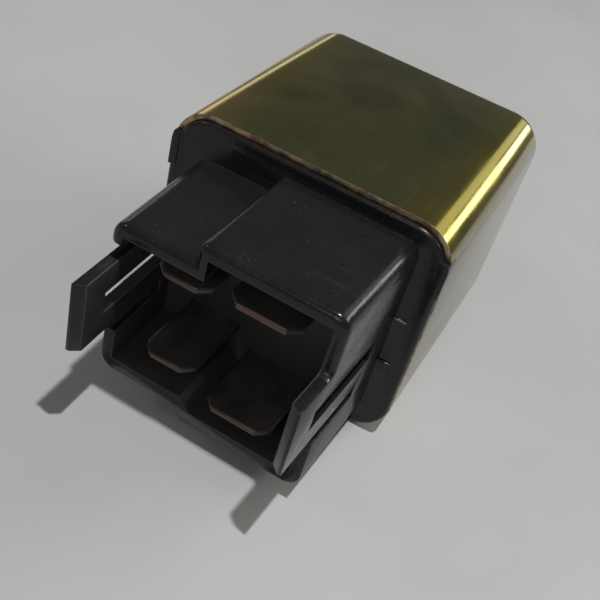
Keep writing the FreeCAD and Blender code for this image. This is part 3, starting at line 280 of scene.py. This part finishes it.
# %% Helper that dresses the pieces
def dress(material, *names):
    """Give a finished material to CAD nodes and to their softened copies."""
    for name in names:
        for piece in (nodes[name], soft.get(name)):
            if piece is not None:
                piece.data.materials.clear()
                piece.data.materials.append(material)
    print(material.name, "on", ", ".join(names))


# %% [markdown]
# ## Worn edges
#
# Handling polishes or strips the sharp edges of a part first. The wear could be painted
# by hand, but it would have to be painted again after each change in CAD. The Bevel node
# finds the edges by itself: it rounds the normal near an edge, so where the rounded
# normal and the true one part company there is an edge. A little noise breaks the line
# up, because wear is never even.

# %% Group: edge wear
BEVEL_SAMPLES = 6

edge_wear, given, result = start_group(
    "edge_wear", [("Radius", 0.3 * MM), ("Patchiness", 900.0), ("Amount", 1.0)], ["Mask"])
rounded = add(edge_wear, "ShaderNodeBevel", {"Radius": given["Radius"]},
              samples=BEVEL_SAMPLES).outputs["Normal"]
true_normal = add(edge_wear, "ShaderNodeNewGeometry").outputs["Normal"]
agreement = add(edge_wear, "ShaderNodeVectorMath", {0: rounded, 1: true_normal},
                operation="DOT_PRODUCT").outputs["Value"]
edge = remap(edge_wear, agreement, 0.985, 0.86)
patches = noise(edge_wear, object_coordinates(edge_wear), given["Patchiness"], 4.0, 0.6)
wear = times(edge_wear, edge, remap(edge_wear, patches, 0.35, 0.62))
edge_wear.links.new(times(edge_wear, wear, given["Amount"]), result["Mask"])
print("group", edge_wear.name)

# %% [markdown]
# ## Fine scratches
#
# Hairline scratches could come from a scanned picture, but noise that is stretched many
# times along one direction needs no file and never repeats. Three sets that cross at
# different angles look like years in a drawer rather than a machined grain.

# %% Group: fine scratches
SCRATCH_SETS = (((0.0, 0.0, 0.5), 60.0), ((0.3, 0.0, -0.9), 45.0), ((0.0, 0.7, 2.1), 80.0))
ACROSS_SCRATCH = (5200.0, 2600.0)

fine_scratches, given, result = start_group("fine_scratches", [("Density", 1.0)], ["Mask"])
sets = []
for turn, along in SCRATCH_SETS:
    lines = stretched(fine_scratches, (along, *ACROSS_SCRATCH), turn)
    streak = noise(fine_scratches, lines, 1.0, 2.0)
    sets.append(remap(fine_scratches, streak, 0.70, 0.76))
both = calculate(fine_scratches, "MAXIMUM", sets[0], sets[1])
every = calculate(fine_scratches, "MAXIMUM", both, sets[2])
where = noise(fine_scratches, object_coordinates(fine_scratches), 160.0, 2.0)
kept = times(fine_scratches, every, remap(fine_scratches, where, 0.42, 0.6))
fine_scratches.links.new(times(fine_scratches, kept, given["Density"]), result["Mask"])
print("group", fine_scratches.name, "with", len(sets), "sets")

# %% [markdown]
# ## Dust and finger marks
#
# Dust is a sparse scatter of fine specks that shows best on dark plastic. Real grains
# could be scattered as tiny meshes, but at this size a pattern of cells looks the same.
# Finger marks are broad, soft patches where the gloss changes. One group gives both masks.

# %% Group: dust and smudges
dust_and_smudges, given, result = start_group(
    "dust_and_smudges", [("Speck Scale", 2600.0), ("Smudge Scale", 140.0)], ["Dust", "Smudge"])
place = object_coordinates(dust_and_smudges)
cells = add(dust_and_smudges, "ShaderNodeTexVoronoi",
            {"Vector": place, "Scale": given["Speck Scale"]}, feature="F1").outputs["Distance"]
specks = remap(dust_and_smudges, cells, 0.16, 0.08)
drift = remap(dust_and_smudges, noise(dust_and_smudges, place, 420.0, 4.0), 0.52, 0.66)
dust_and_smudges.links.new(times(dust_and_smudges, specks, drift), result["Dust"])
smear = noise(dust_and_smudges, place, given["Smudge Scale"], 3.0, 0.55, 0.8)
dust_and_smudges.links.new(remap(dust_and_smudges, smear, 0.42, 0.64), result["Smudge"])
print("group", dust_and_smudges.name)

# %% [markdown]
# ## The can's coating
#
# The can is deep-drawn steel, zinc plated and then dipped in a yellow chromate bath. The
# film is so thin that its colour drifts with its thickness: olive on the flats, gold
# towards the rounded long edges, with a trace of pink and green, and greyer on the two
# sides. Its colours could be worked out from the film's thickness, but they are easier to
# match, so a few given colours are mixed by noise and by the distance from the can's
# middle. The film is also a clear coat over the plating. The cut rim has lost it, and is
# rough and brown.

# %% Places and colours on the can
GOLD_STARTS = 8.5 * MM
GOLD_ENDS = 15.0 * MM
SIDE_STARTS = 15.0 * MM
SIDE_ENDS = 16.1 * MM
RIM_PLACE = cad_high.y - 33.0 * MM
RIM_FADES_AT = 0.12 * MM
RIM_FULL_AT = 0.01 * MM
OLIVE = (0.21, 0.22, 0.11)
PALE_OLIVE = (0.32, 0.315, 0.145)
GREEN_TRACE = (0.14, 0.19, 0.08)
GOLD = (0.50, 0.41, 0.055)
PINK_TRACE = (0.62, 0.40, 0.30)
SIDE_GREEN = (0.22, 0.245, 0.20)
SIDE_PINK = (0.34, 0.28, 0.265)
SCRATCHED_FILM = (0.60, 0.54, 0.36)
WORN_FILM = (0.56, 0.42, 0.26)
BROWN_RIM = (0.20, 0.13, 0.09)
TAN_RIM = (0.46, 0.34, 0.22)
print("the can's rim is at Y", round(RIM_PLACE / MM, 2), "mm")

# %% Material: chromate-plated steel
can_coating, tree, shader = start_material(
    "can_coating", (0.36, 0.32, 0.10), 0.16, metallic=1.0, coat=0.20, coat_roughness=0.10)
place = object_coordinates(tree)
axes = along_axes(tree, place)
film = noise(tree, place, 60.0, distortion=1.0)
tone = mix(tree, remap(tree, film, 0.35, 0.60), OLIVE, PALE_OLIVE)
green = remap(tree, noise(tree, place, 95.0, 2.0), 0.52, 0.70, 0.0, 0.45)
tone = mix(tree, green, tone, GREEN_TRACE)
aside = calculate(tree, "ABSOLUTE", axes["X"])
gold = remap(tree, aside, GOLD_STARTS, GOLD_ENDS, 0.0, 0.85)
uneven = remap(tree, noise(tree, place, 180.0), 0.3, 0.7, 0.6, 1.0)
tone = mix(tree, times(tree, gold, uneven), tone, GOLD)
blush = noise(tree, stretched(tree, (120.0, 40.0, 120.0)), 1.0)
pink = remap(tree, blush, 0.52, 0.70, 0.0, 0.5)
tone = mix(tree, times(tree, pink, gold), tone, PINK_TRACE)
side = remap(tree, aside, SIDE_STARTS, SIDE_ENDS, 0.0, 0.9)
side_clouds = noise(tree, stretched(tree, (90.0, 60.0, 150.0)), 1.0)
side_tone = mix(tree, remap(tree, side_clouds, 0.38, 0.62), SIDE_GREEN, SIDE_PINK)
tone = mix(tree, side, tone, side_tone)

# %% Marks, rim and gloss of the coating
scratch = use_group(tree, fine_scratches, Density=0.8)["Mask"]
tone = mix(tree, times(tree, scratch, 0.55), tone, SCRATCHED_FILM)
wear = use_group(tree, edge_wear, Radius=0.22 * MM, Patchiness=700.0, Amount=0.7)["Mask"]
tone = mix(tree, wear, tone, WORN_FILM)
rim = remap(tree, axes["Y"], RIM_PLACE + RIM_FADES_AT, RIM_PLACE + RIM_FULL_AT)
stains = remap(tree, noise(tree, place, 900.0), 0.4, 0.6)
tone = mix(tree, rim, tone, mix(tree, stains, BROWN_RIM, TAN_RIM))
draw_lines = noise(tree, stretched(tree, (2600.0, 40.0, 2600.0)), 1.0, 4.0, 0.6)
smudge = use_group(tree, dust_and_smudges, Smudge_Scale=90.0)["Smudge"]
gloss = remap(tree, draw_lines, 0.3, 0.7, 0.12, 0.19)
gloss = raised(tree, raised(tree, gloss, smudge, 0.06), rim, 0.28)
relief = raised(tree, draw_lines, scratch, -0.8)
relief = raised(tree, relief, rim, noise(tree, place, 3800.0))
connect(tree, shader, {"Base Color": tone, "Roughness": gloss,
                       "Coat Weight": raised(tree, 0.20, rim, -0.20),
                       "Normal": bump(tree, relief, 0.004 * MM)})
dress(can_coating, "can")

# %% [markdown]
# ## Black moulded plastic
#
# The base is glass-filled nylon. It is not quite black: its skin has a faint orange peel
# from the mould, and rubbed edges turn paler. The inside of the socket, which no hand
# polishes, is matt, and it is painted a paler grey: painted light for a recess that the
# lamps hardly reach. The inside could get a material of its own, face by face, but a mask
# that finds it by its place needs no chosen faces and fades at the socket's mouth.

# %% Helper that finds the inside of the socket
SOCKET_DRAFT = 0.037
SOCKET_HALF = 12.44 * MM
SOCKET_STEP = (-1.0 * MM, -2.6 * MM)
SOCKET_FLOORS = (3.65 * MM, 5.25 * MM)
SOCKET_TOP = 22.45 * MM
SOCKET_BACK = cad_high.y - 37.4 * MM
FADE = 0.05 * MM


def inside_socket(tree, place):
    """A mask for the room between the socket's drafted sides, floor, hood and back."""
    axes = along_axes(tree, place)
    drafted = times(tree, axes["Y"], SOCKET_DRAFT)
    across = calculate(tree, "SUBTRACT", calculate(tree, "ABSOLUTE", axes["X"]), drafted)
    floor_height = remap(tree, axes["X"], *SOCKET_STEP, *SOCKET_FLOORS)
    above_floor = calculate(tree, "SUBTRACT", axes["Z"], floor_height)
    inside = remap(tree, across, SOCKET_HALF + FADE, SOCKET_HALF)
    for limit in (remap(tree, above_floor, 0.0, FADE),
                  remap(tree, axes["Z"], SOCKET_TOP + FADE, SOCKET_TOP),
                  remap(tree, axes["Y"], SOCKET_BACK + FADE, SOCKET_BACK)):
        inside = times(tree, inside, limit)
    return inside


# %% Material: black nylon
# The paler grey for the inside of the socket is painted light, standing in for light that the
# lamps hardly bring into it; the other tones are the plastic's own.
NYLON = (0.0065, 0.0065, 0.0069)
PALER_NYLON = (0.0115, 0.0115, 0.0122)
PAINTED_LIGHT_IN_SOCKET = (0.030, 0.030, 0.0305)
RUBBED_NYLON = (0.030, 0.031, 0.034)
SCRATCHED_NYLON = (0.07, 0.07, 0.075)
DUST = (0.22, 0.21, 0.20)

black_nylon, tree, shader = start_material("black_nylon", (0.009, 0.010, 0.012), 0.28)
shader.inputs["Specular IOR Level"].default_value = 0.36
place = object_coordinates(tree)
marks = use_group(tree, dust_and_smudges, Speck_Scale=2200.0, Smudge_Scale=170.0)
socket = inside_socket(tree, place)
rubbed = use_group(tree, edge_wear, Radius=0.22 * MM, Patchiness=1100.0, Amount=0.45)["Mask"]
scratch = use_group(tree, fine_scratches, Density=0.5)["Mask"]
tone = mix(tree, noise(tree, place, 260.0, 4.0), NYLON, PALER_NYLON)
# Painted light, paler inside the socket, comes first, then rubbed edges, scratches and dust.
for mask, colour in ((socket, PAINTED_LIGHT_IN_SOCKET), (rubbed, RUBBED_NYLON),
                     (times(tree, scratch, 0.5), SCRATCHED_NYLON),
                     (times(tree, marks["Dust"], 0.35), DUST)):
    tone = mix(tree, mask, tone, colour)
gloss = remap(tree, noise(tree, place, 900.0), 0.3, 0.7, 0.15, 0.24)
for mask, amount in ((marks["Smudge"], 0.07), (socket, 0.25), (rubbed, 0.60)):
    gloss = raised(tree, gloss, mask, amount)
peel = noise(tree, place, 1500.0, 2.0, 0.4)
skin = raised(tree, peel, noise(tree, place, 7000.0, 2.0), 0.25)
connect(tree, shader, {"Base Color": tone, "Roughness": gloss,
                       "Normal": bump(tree, skin, 0.012 * MM)})
dress(black_nylon, "base")

# %% [markdown]
# ## Rolled copper alloy
#
# The blades are stamped from rolled strip. The rolls leave a grain along the strip, and
# years in a drawer leave a brown tarnish, which is worn back to bright metal on the
# stamped edges, while the blades' cut ends show the copper. The tarnish could be a second
# material over the first, but one tree that mixes two tones gives softer borders. The
# leaf and its rivets are bright strip by the same function.

# %% Helper for rolled strip
CUT_FADES_AT = 0.06 * MM
CUT_FULL_AT = 0.02 * MM
CUT_COPPER = (0.16, 0.075, 0.048)


def copper_strip(name, bright, tarnished, turn=(0.0, 0.0, 0.0), cut_end=None, metallic=1.0):
    """Rolled strip with tarnish: turn sets its grain, and cut_end is a bare end's Y place."""
    material, tree, shader = start_material(name, bright, 0.32, metallic=metallic)
    place = object_coordinates(tree)
    grain = noise(tree, stretched(tree, (3200.0, 110.0, 3200.0), turn), 1.0, 3.0, 0.55)
    clouds = noise(tree, place, 330.0, 4.0, 0.55, 0.5)
    tone = mix(tree, remap(tree, clouds, 0.36, 0.62), bright, tarnished)
    tone = mix(tree, remap(tree, grain, 0.3, 0.7, 0.0, 0.35), tone,
               tuple(0.6 * c for c in tarnished))
    bare = use_group(tree, edge_wear, Radius=0.06 * MM, Patchiness=1500.0, Amount=0.35)["Mask"]
    tone = mix(tree, bare, tone, tuple(min(1.0, 2.2 * c) for c in bright))
    if cut_end is not None:
        cut = remap(tree, along_axes(tree, place)["Y"], cut_end + CUT_FADES_AT,
                    cut_end + CUT_FULL_AT)
        worn = remap(tree, clouds, 0.40, 0.60, 0.25, 1.0)
        tone = mix(tree, times(tree, cut, worn), tone, CUT_COPPER)
    gloss = remap(tree, calculate(tree, "ADD", grain, clouds), 0.7, 1.3, 0.26, 0.44)
    connect(tree, shader, {"Base Color": tone, "Roughness": gloss,
                           "Normal": bump(tree, grain, 0.005 * MM)})
    return material


# %% Materials: blade metal and strip metal
BLADE_END = cad_low.y + 7.2 * MM
BLADE_TONE = (0.088, 0.076, 0.073)
BLADE_TARNISH = (0.054, 0.050, 0.050)
BRIGHT_STRIP = (0.72, 0.50, 0.27)
STRIP_TARNISH = (0.45, 0.30, 0.16)
QUARTER_TURN = (0.0, 0.0, math.pi / 2)

blade_metal = copper_strip("blade_metal", BLADE_TONE, BLADE_TARNISH, cut_end=BLADE_END,
                           metallic=0.45)
dress(blade_metal, "coil_terminal_upper", "coil_terminal_lower", "fixed_contact_terminal",
      "common_terminal")
strip_metal = copper_strip("strip_metal", BRIGHT_STRIP, STRIP_TARNISH, turn=QUARTER_TURN)
dress(strip_metal, "contact_leaf", "armature_rivet_left", "armature_rivet_right")

# %% [markdown]
# ## Soft iron and spring steel
#
# The yoke, core and armature are soft iron, which carries the magnet's field. They are
# plated against rust, so they are pale and satin, with the dull bloom of tumbled parts.
# The stop, the spring and the silver contacts could each have a tree of their own. They
# differ only in tone, gloss and grain, so one function makes them all.

# %% Helper for plated steel
def plated_steel(name, colour, roughness, grain_scale):
    """Satin plated steel with a tumbled bloom and a grain of its own scale."""
    material, tree, shader = start_material(name, colour, roughness, metallic=1.0)
    place = object_coordinates(tree)
    bloom = noise(tree, place, 420.0, 4.0, 0.6)
    tone = mix(tree, remap(tree, bloom, 0.35, 0.65), tuple(0.78 * c for c in colour), colour)
    wear = use_group(tree, edge_wear, Radius=0.2 * MM, Patchiness=1200.0, Amount=0.8)["Mask"]
    tone = mix(tree, wear, tone, tuple(min(1.0, 1.25 * c) for c in colour))
    pits = noise(tree, place, grain_scale, 3.0, 0.6)
    gloss = remap(tree, pits, 0.3, 0.7, roughness - 0.07, roughness + 0.09)
    connect(tree, shader, {"Base Color": tone, "Roughness": gloss,
                           "Normal": bump(tree, pits, 0.006 * MM)})
    return material


# %% Materials: iron, stop, spring and silver
PLATED_PIECES = {
    "magnet_iron": ((0.55, 0.55, 0.52), 0.38, 2600.0, ["yoke", "iron_core", "armature"]),
    "stop_steel": ((0.50, 0.50, 0.50), 0.42, 3400.0, ["back_stop"]),
    "spring_steel": ((0.42, 0.42, 0.43), 0.30, 5200.0, ["return_spring"]),
    "contact_silver": ((0.86, 0.85, 0.81), 0.22, 4200.0, ["moving_contact", "fixed_contact"]),
}
for name, (colour, roughness, grain_scale, pieces) in PLATED_PIECES.items():
    dress(plated_steel(name, colour, roughness, grain_scale), *pieces)

# %% [markdown]
# ## The coil
#
# The bobbin is moulded in natural nylon, which is creamy and slightly translucent. The
# winding is enamelled copper wire of a tenth of a millimetre, laid turn beside turn, so
# fine rings run round the coil. Thousands of turns could be modelled, but the can hides
# them, so a wave texture draws them, with painted shade in the grooves between turns. A
# thin amber film holds the last layer down.

# %% Material: bobbin nylon
CREAM = (0.66, 0.61, 0.48)
PALE_CREAM = (0.76, 0.73, 0.63)

bobbin_nylon, tree, shader = start_material("bobbin_nylon", (0.72, 0.68, 0.56), 0.45)
shader.inputs["Subsurface Weight"].default_value = 0.15
shader.inputs["Subsurface Radius"].default_value = (1.2 * MM, 1.0 * MM, 0.7 * MM)
place = object_coordinates(tree)
connect(tree, shader, {"Base Color": mix(tree, noise(tree, place, 300.0), CREAM, PALE_CREAM),
                       "Normal": bump(tree, noise(tree, place, 2600.0, 2.0), 0.01 * MM)})
dress(bobbin_nylon, "bobbin")


# %% Material: copper winding wire
def bands(tree, vector, direction, **values):
    """A wave texture's even bands across one axis, with values for its sockets."""
    return add(tree, "ShaderNodeTexWave", {"Vector": vector, **values}, wave_type="BANDS",
               bands_direction=direction).outputs["Fac"]


TURNS_SCALE = 1600.0
# The darker tone is painted shade in the grooves between the round turns.
PAINTED_SHADE_BETWEEN_TURNS = (0.24, 0.08, 0.035)
ENAMELLED_COPPER = (0.68, 0.30, 0.14)

copper_wire, tree, shader = start_material(
    "copper_wire", (0.55, 0.22, 0.10), 0.28, metallic=1.0, coat=0.6, coat_roughness=0.12)
turns = bands(tree, object_coordinates(tree), "Y", Scale=TURNS_SCALE, Distortion=0.6, Detail=1.0)
connect(tree, shader, {"Base Color": mix(tree, turns, PAINTED_SHADE_BETWEEN_TURNS, ENAMELLED_COPPER),
                       "Normal": bump(tree, turns, 0.05 * MM)})
dress(copper_wire, "coil_winding", "coil_lead_upper", "coil_lead_lower")

# %% Material: amber tape
AMBER = (0.64, 0.36, 0.05)
AMBER_OVER_COPPER = (0.40, 0.17, 0.03)
PALE_AMBER = (0.74, 0.48, 0.10)

tape, tree, shader = start_material("tape", (0.62, 0.36, 0.05), 0.22, coat=0.5)
place = object_coordinates(tree)
under = bands(tree, place, "Y", Scale=TURNS_SCALE, Distortion=0.8)
tone = mix(tree, remap(tree, under, 0.0, 1.0, 0.0, 0.4), AMBER, AMBER_OVER_COPPER)
tone = mix(tree, remap(tree, noise(tree, place, 200.0), 0.4, 0.7, 0.0, 0.4), tone, PALE_AMBER)
wrinkles = noise(tree, stretched(tree, (300.0, 1400.0, 300.0)), 1.0, distortion=0.6)
connect(tree, shader, {"Base Color": tone, "Normal": bump(tree, wrinkles, 0.03 * MM)})
dress(tape, "coil_tape")

# %% [markdown]
# ## The braid
#
# The moving contact is fed through a flat braid of fine bare copper, because a solid
# strip would tire. Its strands could be modelled one by one, at the cost of many thousand
# faces inside a closed can. Two sets of diagonal strands cross over and under, so here
# two waves at opposite slants make its height, and painted shade darkens the gaps between
# the strands.

# %% Material: copper braid
STRAND_SLANT = 0.9
STRAND_SCALE = 900.0
# The darker tone is painted shade in the gaps between the strands.
PAINTED_SHADE_BETWEEN_STRANDS = (0.26, 0.11, 0.06)
BARE_COPPER = (0.78, 0.45, 0.27)

braid_copper, tree, shader = start_material("braid_copper", (0.70, 0.38, 0.22), 0.34, metallic=1.0)
strands = []
for slant in (STRAND_SLANT, -STRAND_SLANT):
    turned = stretched(tree, (1.0, 1.0, 1.0), (0.0, 0.0, slant))
    strands.append(bands(tree, turned, "X", Scale=STRAND_SCALE))
weave = calculate(tree, "MAXIMUM", strands[0], strands[1])
connect(tree, shader, {"Base Color": mix(tree, weave, PAINTED_SHADE_BETWEEN_STRANDS, BARE_COPPER),
                       "Normal": bump(tree, weave, 0.09 * MM)})
dress(braid_copper, "flexible_braid")

# %% [markdown]
# ## The table
#
# The relay lies on a pale grey table. A slab with edges and legs would do, but the
# picture ends long before them. So the table is one large plane with a faint mottle, and
# gives the shadow something to fall on.

# %% Floor
TABLE_SIZE = 3.0
TABLE_GAP = 0.05 * MM
GREY_PAINT = (0.345, 0.345, 0.35)
PALE_GREY_PAINT = (0.385, 0.385, 0.385)

bpy.ops.mesh.primitive_plane_add(size=TABLE_SIZE, location=(0.0, 0.0, cad_low.z - TABLE_GAP))
floor = bpy.context.active_object
floor.name = "table_top"
table_paint, tree, shader = start_material("table_paint", (0.58, 0.58, 0.59), 0.55)
mottle = noise(tree, object_coordinates(tree), 14.0, 4.0, 0.55)
tone = mix(tree, remap(tree, mottle, 0.35, 0.65), GREY_PAINT, PALE_GREY_PAINT)
connect(tree, shader, {"Base Color": tone})
floor.data.materials.append(table_paint)
bpy.ops.object.select_all(action="DESELECT")
print("floor at", round(floor.location.z / MM, 3), "mm")

# %% [markdown]
# ## Camera
#
# The photograph was taken close up, from above the connector and a little to its right,
# with the camera tilted. A camera can be aimed at an empty, but then its tilt is hard to
# set, so three angles make its matrix. They and the distance were worked out from the
# can's corners, and bring most of the corners within a few pixels of their places.

# %% Camera at the photograph's place
CAMERA_PLACE = Vector((25.23, -90.40, 75.19)) * MM
LOOK_TURN = math.radians(-17.17)
LOOK_DOWN = math.radians(39.15)
CAMERA_ROLL = math.radians(-17.15)
FOCAL_LENGTH = 54.42
SENSOR_WIDTH = 36.0
NEAREST_SEEN = 5.0 * MM

look = Vector((math.sin(LOOK_TURN) * math.cos(LOOK_DOWN),
               math.cos(LOOK_TURN) * math.cos(LOOK_DOWN), -math.sin(LOOK_DOWN)))
level = Vector((math.cos(LOOK_TURN), -math.sin(LOOK_TURN), 0.0))
below = look.cross(level)
across = math.cos(CAMERA_ROLL) * level + math.sin(CAMERA_ROLL) * below
up = math.sin(CAMERA_ROLL) * level - math.cos(CAMERA_ROLL) * below
camera_data = bpy.data.cameras.new("camera")
camera_data.lens = FOCAL_LENGTH
camera_data.sensor_width = SENSOR_WIDTH
camera_data.clip_start = NEAREST_SEEN
camera = bpy.data.objects.new("camera", camera_data)
bpy.context.collection.objects.link(camera)
turn = Matrix((across, up, -look)).transposed()
camera.matrix_world = Matrix.Translation(CAMERA_PLACE) @ turn.to_4x4()
bpy.context.scene.camera = camera
print("camera looks", [round(v, 3) for v in look])

# %% [markdown]
# ## Light
#
# One small lamp nearly overhead draws the table's clear shadows, and a broad dim one in
# front fills the hood and the blades. A long window strip runs beside the can on its
# right, with a dimmer glow above it: they draw the bright line along the can's rounded
# edge. A low wall and a small window on the left do the same, faintly, for the other
# edge. A picture of a room could light all this at once, but lamps can be moved one by
# one until each reflection lies where it should. The world fills what is left.

# %% Helper for lamps
CAN_EDGE = 14.0 * MM
WINDOW_CENTRE = (CAN_EDGE, 0.75, 0.0)
WALL_CENTRE = (CAN_EDGE, 0.70, 0.0)


def softbox(name, direction, distance, size, watts, colour=(1.0, 1.0, 1.0),
            centre=(0.0, 0.0, 0.0)):
    """A rectangular lamp that stands off from a centre and faces back to it, in metres."""
    lamp_data = bpy.data.lights.new(name, "AREA")
    lamp_data.shape = "RECTANGLE"
    lamp_data.size, lamp_data.size_y = size
    lamp_data.energy = watts
    lamp_data.color = colour
    lamp = bpy.data.objects.new(name, lamp_data)
    bpy.context.collection.objects.link(lamp)
    toward = Vector(direction).normalized()
    lamp.location = toward * distance + Vector(centre)
    lamp.rotation_mode = "QUATERNION"
    lamp.rotation_quaternion = toward.to_track_quat("Z", "Y")
    print(name, [round(v, 2) for v in lamp.location])


# %% Lamps
softbox("ceiling_light", (0.157, -0.10, 1.0), 0.60, (0.018, 0.018), 2.90, (0.98, 0.995, 1.0))
softbox("room_fill", (0.12, -0.95, 0.70), 0.90, (0.45, 0.30), 1.10, (1.0, 0.96, 0.93))
softbox("bright_window", (0.80, 0.0, 0.60), 0.52, (1.30, 0.12), 3.2, (1.0, 0.98, 0.92),
        WINDOW_CENTRE)
softbox("window_glow", (0.50, 0.0, 0.866), 0.50, (1.30, 0.18), 0.70, (1.0, 0.97, 0.88),
        WINDOW_CENTRE)
softbox("left_wall", (-0.95, 0.0, 0.31), 0.60, (1.00, 0.15), 0.50, (1.0, 0.94, 0.84),
        WALL_CENTRE)
softbox("left_window", (-0.75, -0.30, 0.60), 0.80, (0.08, 0.08), 0.35)

# %% World and view
ROOM_COLOUR = (0.82, 0.79, 0.77, 1.0)
ROOM_STRENGTH = 0.16

world = bpy.data.worlds.new("room")
world.use_nodes = True
bpy.context.scene.world = world
background = world.node_tree.nodes["Background"].inputs
background["Color"].default_value = ROOM_COLOUR
background["Strength"].default_value = ROOM_STRENGTH
bpy.context.scene.view_settings.view_transform = "Standard"
print("world", world.name)
